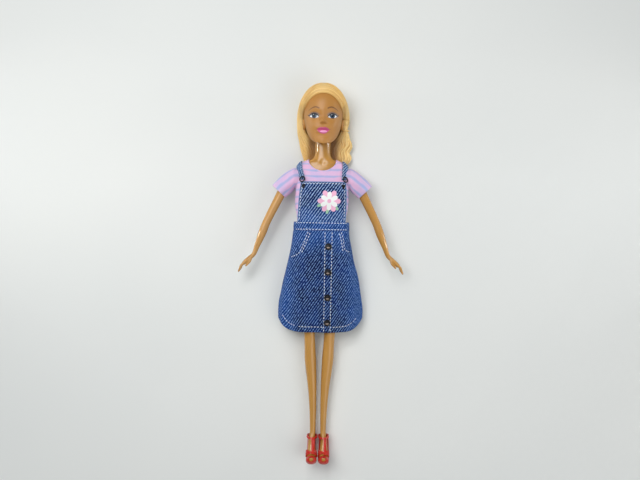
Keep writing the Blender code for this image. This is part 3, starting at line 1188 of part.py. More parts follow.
PLACKET_OUT = GAP
rows = []
for share in spread(PLACKET_DROP / SKIRT_LENGTH, 1 - PLACKET_RISE / SKIRT_LENGTH, 9):
    xs = spread(PLACKET_X - PLACKET_HALF_WIDTH, PLACKET_X + PLACKET_HALF_WIDTH, 4)
    rows.append([on_skirt(x, share, PLACKET_OUT) for x in xs])
sheet("placket", rows, PLACKET_WALL, (DENIM, 0.8), None, 1.0)

for index in range(BUTTONS):
    share = (FIRST_BUTTON_DROP + BUTTON_PITCH * index) / SKIRT_LENGTH
    reach = BUTTON_RADIUS / SKIRT_LENGTH
    seat = on_skirt(PLACKET_X, share, PLACKET_OUT + PLACKET_WALL + GAP * 2)
    along = (on_skirt(PLACKET_X, share - reach, GAP) - on_skirt(PLACKET_X, share + reach, GAP)).normalized()
    across = on_skirt(PLACKET_X + BUTTON_RADIUS, share, GAP) - on_skirt(PLACKET_X - BUTTON_RADIUS, share, GAP)
    facing = across.cross(along).normalized()
    rim = BUTTON_RADIUS * 0.72
    turned(f"button_{index + 1}", (
        (0, BUTTON_HEIGHT - BUTTON_DISH), (rim * 0.8, BUTTON_HEIGHT - BUTTON_DISH), (rim, BUTTON_HEIGHT),
        (BUTTON_RADIUS * 0.9, BUTTON_HEIGHT), (BUTTON_RADIUS, BUTTON_HEIGHT * 0.6), (BUTTON_RADIUS, 0),
        (0, 0),
    ), seat, facing, (BLACK, 0.25), None, 12)

# Straps: ribbons over the shoulders from the bib's corners to the back panels.
BIB_HIGH = BIB_LOW + BIB_LENGTH
BACK_HIGH = BIB_LOW + BACK_PANEL_LENGTH


def round_shoulder(x, angle):
    """A point of the T-shirt's inner face at an x, at an angle round the shoulder's axis."""
    low = 0
    high = SHOULDER_TO_NECK * 3
    along = math.sin(angle)
    up = math.cos(angle)
    for step in range(30):
        reach = (low + high) / 2
        place = SHOULDER_Y + along * reach
        half_width, fore, back = shirt_section(place)
        depth = fore if up >= 0 else back
        square = shirt_square(place)
        size = (abs(x) / half_width) ** square + (abs(up * reach) / depth) ** square
        if size < 1:
            low = reach
        else:
            high = reach
    return Vector((x, SHOULDER_Y + along * low, BODY_MID_Z + up * low))


def over_shoulder(x, angle, out):
    """The same point, pushed out square to the cloth."""
    step = math.radians(4)
    place = round_shoulder(x, angle)
    along = round_shoulder(x, angle + step) - round_shoulder(x, angle - step)
    across = round_shoulder(x + STRAP_HALF_WIDTH, angle) - round_shoulder(x - STRAP_HALF_WIDTH, angle)
    return place + along.cross(across).normalized() * -out


STRAP_START = -math.atan((SHOULDER_Y - BIB_HIGH - GAP) / BUST_DEPTH)
STRAP_END = math.radians(180) + math.atan((SHOULDER_Y - BACK_HIGH - GAP * 3) / BACK_DEPTH)
STRAP_TABLE = (
    (0.0, STRAP_FRONT_X),
    (0.35, STRAP_TOP_X),
    (0.5, STRAP_TOP_X),
    (1.0, STRAP_BACK_X),
)
for side_name, side in (("left", 1), ("right", -1)):
    rows = []
    for share in spread(0, 1, 17):
        x = read(STRAP_TABLE, share)[0]
        angle = STRAP_START + (STRAP_END - STRAP_START) * share
        row = []
        for across in spread(-STRAP_HALF_WIDTH, STRAP_HALF_WIDTH, 4):
            point = over_shoulder(x + across, angle, OVER_SHIRT + GAP / 2)
            row.append((side * point.x, point.y, point.z))
        rows.append(row if side < 0 else list(reversed(row)))
    sheet("strap_" + side_name, rows, STRAP_WALL, (PALE_DENIM, 0.8), None, 1.0)

    # A ring buckle where the strap meets the bib, and the tab under it.
    ring_out = OVER_SHIRT + CLOTH + GAP * 2 + BUCKLE_WIRE
    ring_at = over_shoulder(STRAP_FRONT_X, STRAP_START, ring_out)
    facing = (ring_at - over_shoulder(STRAP_FRONT_X, STRAP_START, 0)).normalized()
    ring_at.x *= side
    facing.x *= side
    build = bmesh.new()
    steps = 16
    grid = []
    for index in range(steps):
        angle = TURN * index / steps
        out = Vector((math.cos(angle), math.sin(angle), 0))
        ring = []
        for turn in range(6):
            tilt = TURN * turn / 6
            point = out * (BUCKLE_RADIUS + BUCKLE_WIRE * math.cos(tilt))
            ring.append(build.verts.new(point + Vector((0, 0, BUCKLE_WIRE * math.sin(tilt)))))
        grid.append(ring)
    for index in range(steps):
        after = grid[(index + 1) % steps]
        for turn in range(6):
            again = (turn + 1) % 6
            build.faces.new((grid[index][turn], after[turn], after[again], grid[index][again]))
    bmesh.ops.recalc_face_normals(build, faces=build.faces)
    ring_mesh = bpy.data.meshes.new("buckle_" + side_name)
    build.to_mesh(ring_mesh)
    build.free()
    ring_mesh.transform(Vector((0, 0, 1)).rotation_difference(facing).to_matrix().to_4x4())
    buckle = put("buckle_" + side_name, ring_mesh, (BLACK, 0.3))
    buckle.location = ring_at

    rows = []
    tab_high = BIB_HIGH - BUCKLE_RADIUS - BUCKLE_WIRE - GAP * 2
    for share in spread(0, 1, 3):
        place = tab_high - TAB_LENGTH * share
        wide = TAB_HALF_WIDTH * (1 - 0.6 * share)
        middle = side * (BIB_TOP_HALF_WIDTH - TAB_HALF_WIDTH)
        xs = spread(middle - wide, middle + wide, 3)
        rows.append([on_shirt(x, place, OVER_SHIRT + CLOTH + GAP) for x in xs])
    sheet("buckle_tab_" + side_name, rows, BUCKLE_WIRE, (BLACK, 0.4), None, 1.0)

# Tapes that close the back of the dress and of the T-shirt.
rows = []
for place in spread(BIB_LOW + GAP, BACK_HIGH - GAP, 5):
    xs = spread(-TAPE_HALF_WIDTH, TAPE_HALF_WIDTH, 3)
    rows.append([on_shirt(x, place, OVER_SHIRT + CLOTH + GAP, False) for x in xs])
sheet("dress_tape", rows, TAPE_WALL, (NATURAL, 0.9), None, 1.0)
rows = []
for place in spread(BACK_HIGH + GAP * 2, SHOULDER_Y, 5):
    xs = spread(-TAPE_HALF_WIDTH, TAPE_HALF_WIDTH, 3)
    rows.append([on_shirt(x, place, OVER_SHIRT, False) for x in xs])
sheet("shirt_tape", rows, TAPE_WALL, (NATURAL, 0.9), None, 1.0)
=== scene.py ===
"""The looks of a fashion doll: skin, face, hair, striped T-shirt, denim pinafore and sandals.

Metres. The doll lies along Y with its head towards +Y, its face towards +Z and its own left hand
towards +X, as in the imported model.
"""

import itertools
import math

import bmesh
import bpy
from mathutils import Matrix, Vector, noise


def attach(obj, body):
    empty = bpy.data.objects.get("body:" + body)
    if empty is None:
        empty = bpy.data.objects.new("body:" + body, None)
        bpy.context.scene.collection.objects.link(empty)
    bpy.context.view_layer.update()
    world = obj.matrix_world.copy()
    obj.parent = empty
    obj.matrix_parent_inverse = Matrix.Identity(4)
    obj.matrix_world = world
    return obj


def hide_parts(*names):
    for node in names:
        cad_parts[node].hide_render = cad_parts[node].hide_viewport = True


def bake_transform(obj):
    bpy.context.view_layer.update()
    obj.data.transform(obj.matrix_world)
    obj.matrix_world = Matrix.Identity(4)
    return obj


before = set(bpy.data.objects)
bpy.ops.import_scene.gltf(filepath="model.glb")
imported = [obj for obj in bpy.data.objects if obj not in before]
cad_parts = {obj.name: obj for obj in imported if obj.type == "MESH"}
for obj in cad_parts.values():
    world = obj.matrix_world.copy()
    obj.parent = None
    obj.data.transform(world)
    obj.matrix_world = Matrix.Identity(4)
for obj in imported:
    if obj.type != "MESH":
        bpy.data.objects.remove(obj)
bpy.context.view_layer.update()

TURN = 2 * math.pi
QUARTER = math.pi / 2
UP = Vector((0, 0, 1))
SIDES = (("left", 1), ("right", -1))

# Lengths up the doll, each from the station before it, starting at the shoe soles.
SOLE_TO_ANKLE = 0.0230
ANKLE_TO_CALF = 0.0550
CALF_TO_KNEE = 0.0190
KNEE_TO_HIP = 0.0690
HIP_TO_WAIST = 0.0190
WAIST_TO_BUST = 0.0210
BUST_TO_SHOULDER = 0.0120
SHOULDER_TO_NECK = 0.0150
NECK_TO_CHIN = 0.0100
CHIN_TO_CROWN = 0.0445
HAIR_OVER_CROWN = 0.0030

LENGTHS = (
    SOLE_TO_ANKLE, ANKLE_TO_CALF, CALF_TO_KNEE, KNEE_TO_HIP, HIP_TO_WAIST, WAIST_TO_BUST,
    BUST_TO_SHOULDER, SHOULDER_TO_NECK, NECK_TO_CHIN, CHIN_TO_CROWN, HAIR_OVER_CROWN,
)
(SOLE_Y, ANKLE_Y, CALF_Y, KNEE_Y, HIP_Y, WAIST_Y, BUST_Y, SHOULDER_Y, NECK_Y, CHIN_Y, CROWN_Y,
 HAIR_TOP_Y) = itertools.accumulate(LENGTHS, initial=-sum(LENGTHS) / 2)

# Heights over the floor.
BODY_MID_Z = 0.0142
KNEE_Z = 0.0112
CALF_Z = 0.0092
SHIN_Z = 0.0080
ANKLE_Z = 0.0068

# Clearance between neighbouring pieces.
GAP = 0.0003

# Torso.
NECK_HALF_WIDTH = 0.0060
NECK_HALF_DEPTH = 0.0056
NECK_RISE = 0.0040
BASE_HALF_WIDTH = 0.0080
COLLAR_HALF_WIDTH = 0.0174
CHEST_HALF_WIDTH = 0.0182
RIBS_HALF_WIDTH = 0.0168
WAIST_HALF_WIDTH = 0.0146
HIP_HALF_WIDTH = 0.0184
TONGUE_HALF_WIDTH = 0.0042
TONGUE_DROP = 0.0075
BUST_DEPTH = 0.0126
BELLY_DEPTH = 0.0092
WAIST_DEPTH = 0.0086
COLLAR_DEPTH = 0.0068
BACK_DEPTH = 0.0098
SMALL_OF_BACK_DEPTH = 0.0076
SEAT_DEPTH = 0.0108
SHOULDER_SEAT_X = 0.0178

# The round top of each leg, beside the crotch.
HIP_RADIUS = 0.0092

# Arms, from the shoulder peg outwards.
ARM_CAP_X = 0.0256
ARM_CAP_HALF_WIDTH = 0.0046
UPPER_ARM = 0.0372
FOREARM = 0.0270
UPPER_ARM_SLANT = math.radians(26)
FOREARM_SLANT = math.radians(21)
HAND_SLANT = math.radians(47)
FINGER_SLANT = math.radians(22)
UPPER_ARM_HALF_WIDTH = 0.0034
ELBOW_HALF_WIDTH = 0.0031
FOREARM_HALF_WIDTH = 0.0030
WRIST_HALF_WIDTH = 0.0017
PALM = 0.0112
PALM_HALF_DEPTH = 0.0033
PALM_HALF_WIDTH = 0.0017
FINGER_HALF_WIDTH = 0.0009
FINGER_PITCH = 0.00168
FINGER_LENGTH = 0.0086
THUMB_LENGTH = 0.0080
FINGER_SHARES = (0.93, 1.0, 0.95, 0.80)

# Legs.
HIP_X = 0.0122
THIGH_HALF_WIDTH = 0.0073
THIGH_HALF_DEPTH = 0.0086
MID_THIGH_HALF_WIDTH = 0.0060
KNEE_X = 0.0076
KNEE_HALF_WIDTH = 0.0042
CALF_X = 0.0066
CALF_HALF_WIDTH = 0.0045
SHIN_X = 0.0046
SHIN_HALF_WIDTH = 0.0031
ANKLE_X = 0.0040
ANKLE_HALF_WIDTH = 0.0022
SHIN_ABOVE_ANKLE = 0.0280

# Foot. It points its toes: it drops along the leg and then turns up towards +Z.
FOOT_X = 0.0047
HEEL_DROP = 0.0062
HEEL_HALF_WIDTH = 0.0025
HEEL_HALF_DEPTH = 0.0040
INSTEP_DROP = 0.0118
INSTEP_RISE = 0.0030
INSTEP_HALF_WIDTH = 0.0028
INSTEP_HALF_DEPTH = 0.0030
BALL_DROP = 0.0178
BALL_RISE = 0.0075
BALL_HALF_WIDTH = 0.0034
BALL_HALF_DEPTH = 0.0021
TOE_DROP = 0.0194
TOE_RISE = 0.0130
TOE_HALF_WIDTH = 0.0026
TOE_HALF_DEPTH = 0.0013

# Shoe.
SHOE_WALL = 0.0008
T_STRAP_HALF_WIDTH = 0.0011
T_STRAP_X = 0.0010
PEEP_RADIUS = 0.0016
PLATFORM_HALF_WIDTH = 0.0043
PLATFORM_HALF_LENGTH = 0.0068
PLATFORM = 0.0020
STILETTO_TIP_RADIUS = 0.0012
STILETTO_TOP_RADIUS = 0.0022

# Head.
FACE_HALF_WIDTH = 0.0146
JAW_HALF_WIDTH = 0.0088
FACE_Z = 0.0334
CHIN_Z = 0.0312
SKULL_Z = 0.0034
HEAD_MID_Z = 0.0180
JAW_DROP = 0.0050
JAW_RISE = 0.0052
EAR_ABOVE_CHIN = 0.0160
EAR_Z = 0.0165
EAR_HALF_LENGTH = 0.0041
EAR_HALF_WIDTH = 0.0018
EAR_HALF_DEPTH = 0.0026

# Hair.
LOCK_Z = 0.0072
LOCK_END_Z = 0.0030
LOCK_HALF_DEPTH = 0.0030
LEFT_LOCK_BESIDE_FACE = 0.0014
LEFT_LOCK_X = FACE_HALF_WIDTH + LEFT_LOCK_BESIDE_FACE
LEFT_LOCK_TOP_Z = 0.0120
LEFT_LOCK_HALF_WIDTH = 0.0054
LEFT_LOCK_LENGTH = 0.0300
LEFT_LOCK_ABOVE_CHIN = 0.0150
TIE_RADIUS = 0.0022

# T-shirt.
SHIRT_EASE = 0.0007
SHIRT_WALL = 0.0007
SHIRT_SIDE_EASE = 0.0014
SHIRT_BOTTOM_ABOVE_WAIST = 0.0012
NECKLINE_HALF_WIDTH = 0.0108
NECKLINE_LENGTH = 0.0180
NECKLINE_ABOVE_SHOULDER = 0.0070
NECKLINE_TILT = math.radians(13)
SLEEVE_SEAM_RADIUS = 0.0080
SLEEVE_HEM_HALF_WIDTH = 0.0068
SLEEVE_HEM_HALF_DEPTH = 0.0066
SLEEVE_REACH = 0.0116
SLEEVE_LEAD = 0.0008
SLEEVE_DROP = 0.0102
SLEEVE_SLANT = math.radians(43)
SHIRT_OPENING = 0.0006

# Pinafore dress.
CLOTH = 0.0006
WAISTBAND = 0.0064
WAISTBAND_UNDER_WAIST = 0.0066
WAISTBAND_HALF_WIDTH = 0.0206
WAISTBAND_FRONT_Z = 0.0252
WAISTBAND_BACK_Z = 0.0020
SKIRT_LENGTH = 0.0776
SKIRT_TOP_HALF_WIDTH = 0.0208
SKIRT_HEM_HALF_WIDTH = 0.0318
SKIRT_FRONT_Z = 0.0256
SKIRT_HEM_FRONT_Z = 0.0180
SKIRT_SEAM_Z = 0.0125
SKIRT_HEM_SEAM_Z = 0.0050
SKIRT_BACK_SAG = 0.0006
HEM_CORNER_RISE = 0.0090
FOLD_DEPTH = 0.0008
BIB_LENGTH = 0.0298
BIB_TOP_HALF_WIDTH = 0.0168
BIB_HALF_WIDTH = 0.0182
BACK_PANEL_LENGTH = 0.0170
BACK_PANEL_HALF_WIDTH = 0.0150
BACK_OPENING = 0.0006
STRAP_HALF_WIDTH = 0.0018
STRAP_WALL = 0.0005
STRAP_FRONT_X = 0.0158
STRAP_TOP_X = 0.0162
STRAP_BACK_X = 0.0110
BUCKLE_RADIUS = 0.0019
BUCKLE_WIRE = 0.0004
TAB_HALF_WIDTH = 0.0014
TAB_LENGTH = 0.0030
PLACKET_X = 0.0055
PLACKET_HALF_WIDTH = 0.0034
PLACKET_WALL = 0.0004
PLACKET_DROP = 0.0004
PLACKET_RISE = 0.0012
BUTTON_RADIUS = 0.0026
FIRST_BUTTON_DROP = 0.0120
LAST_BUTTON_RISE = 0.0077
BUTTONS = 4
BUTTON_PITCH = (SKIRT_LENGTH - FIRST_BUTTON_DROP - LAST_BUTTON_RISE) / (BUTTONS - 1)
TAPE_HALF_WIDTH = 0.0020
TAPE_WALL = 0.0004

# Sections are ovals with this power; 2 is an ellipse.
SQUARE = 2.25
SKIRT_SQUARE = 2.8
SHIRT_SQUARE = 2.9
ROUND = 2.0


# The middles, as x and z, that the body, the head and the skirt are wrapped round.
BODY_CORE = (0, BODY_MID_Z)
HEAD_CORE = (0, HEAD_MID_Z)
SKIRT_CORE = (0, SKIRT_SEAM_Z)


# Reading tables and ovals, the same way as the model does.
def clamp(value, low=0, high=1):
    return min(max(value, low), high)


def power(value, square):
    return math.copysign(abs(value) ** (2 / square), value)


def read(table, place):
    """Read the row of a table at a place, smoothly between its stations."""
    index = 0
    while index < len(table) - 2 and table[index + 1][0] < place:
        index += 1
    low = table[index]
    high = table[index + 1]
    before = table[max(index - 1, 0)]
    after = table[min(index + 2, len(table) - 1)]
    step = high[0] - low[0]
    share = clamp((place - low[0]) / step)
    cube = share ** 3
    square = share ** 2
    row = []
    for column in range(1, len(low)):
        slope_in = (high[column] - before[column]) / (high[0] - before[0]) * step
        slope_out = (after[column] - low[column]) / (after[0] - low[0]) * step
        row.append(
            (2 * cube - 3 * square + 1) * low[column]
            + (cube - 2 * square + share) * slope_in
            + (3 * square - 2 * cube) * high[column]
            + (cube - square) * slope_out
        )
    return row


def spread(low, high, count):
    return [low + (high - low) * index / (count - 1) for index in range(count)]


def oval(angle, half_width, front, back, square=SQUARE):
    depth = front if math.sin(angle) >= 0 else back
    return power(math.cos(angle), square) * half_width, power(math.sin(angle), square) * depth


def mirror(side, point):
    """A point of the left side, or its twin on the right."""
    x, y, z = point
    return Vector((side * x, y, z))


def bump(distance, reach):
    return math.exp(-(distance / reach) ** 2)


def ease(value):
    value = clamp(value)
    return value * value * (3 - 2 * value)


def ripple(x, y, z=0.0):
    """Smooth noise from -1 to 1."""
    return noise.noise(Vector((x, y, z)))


# Making a piece.
WELD = 0.000004


def face_out(build):
    bmesh.ops.recalc_face_normals(build, faces=build.faces)
    return build


def weld(build, reach=WELD):
    bmesh.ops.remove_doubles(build, verts=build.verts, dist=reach)
    return build


def mesh_of(name, build):
    mesh = bpy.data.meshes.new(name)
    build.to_mesh(mesh)
    build.free()
    return mesh


def show(name, data):
    thing = bpy.data.objects.new(name, data)
    bpy.context.scene.collection.objects.link(thing)
    return thing


def cloth(across, along, point, joined=False, flip=False, origin=0.0, signs=(1, 1), relief=None, core=None):
    """A grid bent over a form by point(u, v), with its own lengths along the surface as its UV map.

    The lengths start at u = origin and run as signs says. relief(u, v) lifts the grid along its normals, and
    core is the x and z of the middle that its faces look away from.
    """
    places = [[Vector(point(i / across, j / along)) for j in range(along + 1)] for i in range(across + 1)]
    first = round(origin * across)
    down = [0.0]
    for j in range(along):
        down.append(down[-1] + (places[first][j + 1] - places[first][j]).length)
    over = []
    for j in range(along + 1):
        row = [0.0]
        for i in range(across):
            row.append(row[-1] + (places[i + 1][j] - places[i][j]).length)
        over.append([length - row[first] for length in row])
    build = bmesh.new()
    bmesh.ops.create_grid(build, x_segments=across, y_segments=along, size=0.5)
    layer = build.loops.layers.uv.new("surface")
    where = {vert: (round((vert.co.x + 0.5) * across), round((vert.co.y + 0.5) * along))
             for vert in build.verts}
    for face in build.faces:
        for loop in face.loops:
            i, j = where[loop.vert]
            loop[layer].uv = (signs[0] * over[j][i], signs[1] * down[j])
    heights = {}
    for vert, (i, j) in where.items():
        vert.co = places[i][j]
        heights[vert] = relief(i / across, j / along) if relief else 0
    if core:
        build.normal_update()
        away = 0
        for face in build.faces:
            middle = face.calc_center_median()
            away += face.normal.dot(middle - Vector((core[0], middle.y, core[1])))
        flip = away < 0
    if flip:
        bmesh.ops.reverse_faces(build, faces=build.faces)
    if relief:
        build.normal_update()
        moves = {vert: vert.normal * height for vert, height in heights.items()}
        for vert, move in moves.items():
            vert.co += move
    return weld(build) if joined else build


def close_ends(build):
    """Fill the round ends of a tube."""
    bmesh.ops.holes_fill(build, edges=[edge for edge in build.edges if edge.is_boundary], sides=0)
    return build


def face_up(build):
    if sum(face.normal.z for face in build.faces) < 0:
        bmesh.ops.reverse_faces(build, faces=build.faces)
    return build


def settle(thing):
    """Make a piece's modifiers part of its mesh."""
    graph = bpy.context.evaluated_depsgraph_get()
    mesh = bpy.data.meshes.new_from_object(thing.evaluated_get(graph))
    thing.modifiers.clear()
    thing.data = mesh


def piece(name, build, look, body, stands_for=(), wall=0.0, sharp=None):
    """A finished piece: its mesh, wall, finish, the body it moves with and the nodes it stands for. A body
    given as two bodies and two places joins neither, and the piece stays where it is.
    """
    mesh = mesh_of(name, build)
    mesh.materials.append(LOOKS[look][0])
    thing = show(name, mesh)
    if wall:
        step = thing.modifiers.new("wall", "SOLIDIFY")
        step.thickness = wall
        step.offset = -1
        settle(thing)
    thing.data.shade_smooth()
    if sharp:
        thing.data.set_sharp_from_angle(angle=math.radians(sharp))
    if isinstance(body, tuple):
        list(body[:2])
        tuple(body[2])
        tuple(body[3])
        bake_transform(thing)
    else:
        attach(thing, body)
    if stands_for:
        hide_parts(*stands_for)
    return thing


def merge(builds):
    """Several meshes as one, with their UV maps."""
    whole = bmesh.new()
    for build in builds:
        mesh = mesh_of("part", build)
        whole.from_mesh(mesh)
        bpy.data.meshes.remove(mesh)
    return whole


NEAR = 0.00012


def facing(place, a, b, step=NEAR):
    """The outward direction of a surface at a pair of its own measures."""
    over = Vector(place(a + step, b)) - Vector(place(a - step, b))
    up = Vector(place(a, b + step)) - Vector(place(a, b - step))
    out = over.cross(up).normalized()
    return out if out.z >= 0 else -out


def patch(outline, place, lift, rings, around, edge):
    """A thin shape laid on a surface: outline(angle, size) gives its rim and the rings inside it."""
    def point(u, v):
        a, b = outline(TURN * u, v)
        return Vector(place(a, b)) + facing(place, a, b) * (lift * (1 - v ** 6) + edge)
    return cloth(around, rings, point, joined=True, flip=True)


def strip(curve, width, place, lift, along):
    """A thin band along a curve on a surface."""
    def point(u, v):
        a, b = curve(v)
        before = curve(max(v - 0.01, 0))
        after = curve(min(v + 0.01, 1))
        run = Vector((after[0] - before[0], after[1] - before[1])).normalized()
        side = (u - 0.5) * width(v)
        a += run.y * side
        b -= run.x * side
        return Vector(place(a, b)) + facing(place, a, b) * lift
    return cloth(4, along, point)


def stitches(place, points, pitch=0.0024, length=0.0018, half_width=0.00031, height=0.00015, step=NEAR):
    """A row of thread stitches on a surface, along points of its own measures."""
    spots = [Vector(place(a, b)) for a, b in points]
    build = bmesh.new()
    run = 0.0
    upcoming = pitch / 2
    size = Matrix.Diagonal((length / 2, half_width, height, 1))
    for index in range(len(spots) - 1):
        gap = (spots[index + 1] - spots[index]).length
        while gap and run + gap >= upcoming:
            share = (upcoming - run) / gap
            middle = spots[index].lerp(spots[index + 1], share)
            a, b = (low + (high - low) * share for low, high in zip(points[index], points[index + 1]))
            out = facing(place, a, b, step)
            along = (spots[index + 1] - spots[index]).normalized()
            side = out.cross(along).normalized()
            turn = Matrix((along, side, out)).transposed().to_4x4()
            bmesh.ops.create_uvsphere(build, u_segments=6, v_segments=5, radius=1,
                                      matrix=Matrix.Translation(middle) @ turn @ size)
            upcoming += pitch
        run += gap
    return build


def sew(name, place, points, body="torso", **sizes):
    """A row of stitches as a piece of its own."""
    piece(name, stitches(place, points, **sizes), "thread", body)


def tube(points, radii, sides=8, closed=False):
    """A round bar along points, as a mesh: rings square to its run, kept from twisting."""
    count = len(points)
    last = None
    frames = []
    for index in range(count):
        after = points[(index + 1) % count] if closed else points[min(index + 1, count - 1)]
        before = points[index - 1] if closed else points[max(index - 1, 0)]
        run = (after - before).normalized()
        if last is None:
            last = run.orthogonal().normalized()
        last = (last - run * last.dot(run)).normalized()
        frames.append((last.copy(), run.cross(last).normalized()))

    def point(u, v):
        index = round(v * (count if closed else count - 1)) % count
        one, two = frames[index]
        angle = TURN * u
        return points[index] + (one * math.cos(angle) + two * math.sin(angle)) * radii[index]
    build = cloth(sides, count if closed else count - 1, point, joined=True)
    return face_out(build if closed else close_ends(build))


def ball(segments, rings, place=(0, 0, 0), size=(1, 1, 1), turn=Matrix()):
    """A sphere, sized and turned about its own middle."""
    build = bmesh.new()
    bmesh.ops.create_uvsphere(build, u_segments=segments, v_segments=rings, radius=1,
                              matrix=Matrix.Translation(place) @ turn @ Matrix.Diagonal((*size, 1)))
    return build


def turned(profile, place, axis, steps=32, size=(1, 1, 1)):
    """A turned form: a profile of radii and heights, spun round an axis."""
    build = bmesh.new()
    row = [build.verts.new((radius, 0, height)) for radius, height in profile]
    edges = [build.edges.new(pair) for pair in zip(row, row[1:])]
    bmesh.ops.spin(build, geom=row + edges, cent=(0, 0, 0), axis=(0, 0, 1), angle=TURN, steps=steps,
                   use_merge=True)
    face_out(weld(build, WELD / 2))
    turn = UP.rotation_difference(Vector(axis)).to_matrix().to_4x4()
    bmesh.ops.transform(build, matrix=Matrix.Translation(place) @ turn @ Matrix.Diagonal((*size, 1)),
                        verts=build.verts)
    return build


# Finishes.
def add(tree, kind, inputs=None, **settings):
    made = tree.nodes.new(kind)
    for name, value in settings.items():
        setattr(made, name, value)
    for key, value in (inputs or {}).items():
        if isinstance(value, bpy.types.NodeSocket):
            tree.links.new(value, made.inputs[key])
        else:
            made.inputs[key].default_value = value
    return made


def use(tree, made, **inputs):
    """The outputs of a node group, fed by name."""
    return add(tree, "ShaderNodeGroup", inputs, node_tree=made).outputs


def maths(tree, operation, one, two=0.0, three=0.0):
    return add(tree, "ShaderNodeMath", {0: one, 1: two, 2: three}, operation=operation).outputs[0]


def times(tree, one, two, plus=None):
    if plus is None:
        return maths(tree, "MULTIPLY", one, two)
    return maths(tree, "MULTIPLY_ADD", one, two, plus)


def off(tree, value, middle):
    """How far a value is from a middle, either way."""
    return maths(tree, "ABSOLUTE", maths(tree, "SUBTRACT", value, middle) if middle else value)


def mix(tree, share, one, two):
    return add(tree, "ShaderNodeMix", {0: share, 6: one, 7: two}, data_type="RGBA").outputs[2]


def soften(tree, value, low, high, floor=0.0, top=1.0):
    """A smooth step of a value between two limits."""
    return add(tree, "ShaderNodeMapRange",
               {"Value": value, "From Min": low, "From Max": high, "To Min": floor, "To Max": top},
               interpolation_type="SMOOTHSTEP").outputs["Result"]


def speckle(tree, place, scale, detail=2.0, roughness=0.5):
    """Smooth noise from 0 to 1."""
    return add(tree, "ShaderNodeTexNoise", {"Vector": place, "Scale": scale, "Detail": detail,
                                            "Roughness": roughness}).outputs["Fac"]


def split(tree, place):
    return add(tree, "ShaderNodeSeparateXYZ", {0: place}).outputs


def shade(red, green, blue):
    """A colour given as it shows on a screen, from 0 to 255."""
    row = []
    for part in (red, green, blue):
        part /= 255
        row.append(part / 12.92 if part <= 0.04045 else ((part + 0.055) / 1.055) ** 2.4)
    return (*row, 1.0)


def scaled(colour, factor):
    return tuple(min(part * factor, 1) for part in colour[:3]) + (1.0,)


def group(name, inputs, outputs):
    """An empty node group: its tree, the sockets given to it, and a way to fill its outputs by name."""
    tree = bpy.data.node_groups.new(name, "ShaderNodeTree")
    for label, value in inputs.items():
        kind = "NodeSocketVector" if value is None else "NodeSocketFloat"
        socket = tree.interface.new_socket(label, in_out="INPUT", socket_type=kind)
        if value is not None:
            socket.default_value = value
    for label in outputs:
        tree.interface.new_socket(label, in_out="OUTPUT", socket_type="NodeSocketFloat")
    given = tree.nodes.new("NodeGroupInput").outputs
    result = tree.nodes.new("NodeGroupOutput")

    def fill(**values):
        for label, value in values.items():
            tree.links.new(value, result.inputs[label])
    return tree, given, fill


# Moulded grain: a slow tint and a fine unevenness, for every moulded plastic and paint.
GRAIN, given, fill = group("Moulded grain", {"Vector": None, "Fine": 900.0, "Slow": 60.0}, ("Tint", "Height"))
fill(Height=speckle(GRAIN, given["Vector"], given["Fine"], 3.0),
     Tint=speckle(GRAIN, given["Vector"], given["Slow"]))

# Weave: warp and weft threads of a cloth, with the UV map in metres.
WEAVE, given, fill = group("Weave", {"Vector": None, "Thread": 0.0003}, ("Height",))
waves = [maths(WEAVE, "SINE", times(WEAVE, maths(WEAVE, "DIVIDE", part, given["Thread"]), TURN))
         for part in split(WEAVE, given["Vector"])[:2]]
fill(Height=times(WEAVE, times(WEAVE, *waves), 0.5, 0.5))

# Twill: slanting pale threads over blue, broken and washed unevenly, with the UV map in metres.
TWILL_SLANT = math.radians(56)
BREAKS_PER_METRE = 520
TWILL, given, fill = group("Twill print", {"Vector": None, "Pitch": 0.0014, "Width": 0.0},
                           ("Line", "Wash", "Speck", "Height"))
surface = given["Vector"]
u_part, v_part = split(TWILL, surface)[:2]
across = maths(TWILL, "SUBTRACT", times(TWILL, u_part, math.sin(TWILL_SLANT)),
               times(TWILL, v_part, math.cos(TWILL_SLANT)))
turns = times(TWILL, speckle(TWILL, surface, 260.0), 0.3, maths(TWILL, "DIVIDE", across, given["Pitch"]))
wave = maths(TWILL, "SINE", times(TWILL, turns, TURN))
along = maths(TWILL, "ADD", times(TWILL, u_part, math.cos(TWILL_SLANT) * BREAKS_PER_METRE),
              times(TWILL, v_part, math.sin(TWILL_SLANT) * BREAKS_PER_METRE))
threads = add(TWILL, "ShaderNodeCombineXYZ", {"X": turns, "Y": along}).outputs[0]
edge = maths(TWILL, "ADD", wave, times(TWILL, speckle(TWILL, threads, 1.2), 3.2, -1.6))
line = soften(TWILL, maths(TWILL, "ADD", edge, given["Width"]), 0.2, 0.95)
speck = speckle(TWILL, surface, 1300.0)
fill(Line=line, Wash=soften(TWILL, speckle(TWILL, surface, 85.0, 4.0, 0.6), 0.38, 0.66), Speck=speck,
     Height=times(TWILL, speck, 0.5, line))

LOOKS = {}


def finish(name, slot, colour, roughness, **sockets):
    """A material with a Principled shader; its pattern is added by the caller."""
    material = bpy.data.materials.new(name)
    material.use_nodes = True
    tree = material.node_tree
    shader = tree.nodes["Principled BSDF"]
    sockets.update({"Base Color": colour, "Roughness": roughness})
    for key, value in sockets.items():
        shader.inputs[key.replace("_", " ")].default_value = value
    LOOKS[name] = (material, slot)
    return tree, shader


def own_place(tree):
    return add(tree, "ShaderNodeTexCoord").outputs["Object"]


def own_surface(tree):
    return add(tree, "ShaderNodeUVMap", uv_map="surface").outputs["UV"]


def tone_by(tree, shader, tone):
    tree.links.new(tone, shader.inputs["Base Color"])


def raise_by(tree, shader, height, depth):
    made = add(tree, "ShaderNodeBump", {"Height": height, "Distance": depth, "Strength": 1.0})
    tree.links.new(made.outputs["Normal"], shader.inputs["Normal"])


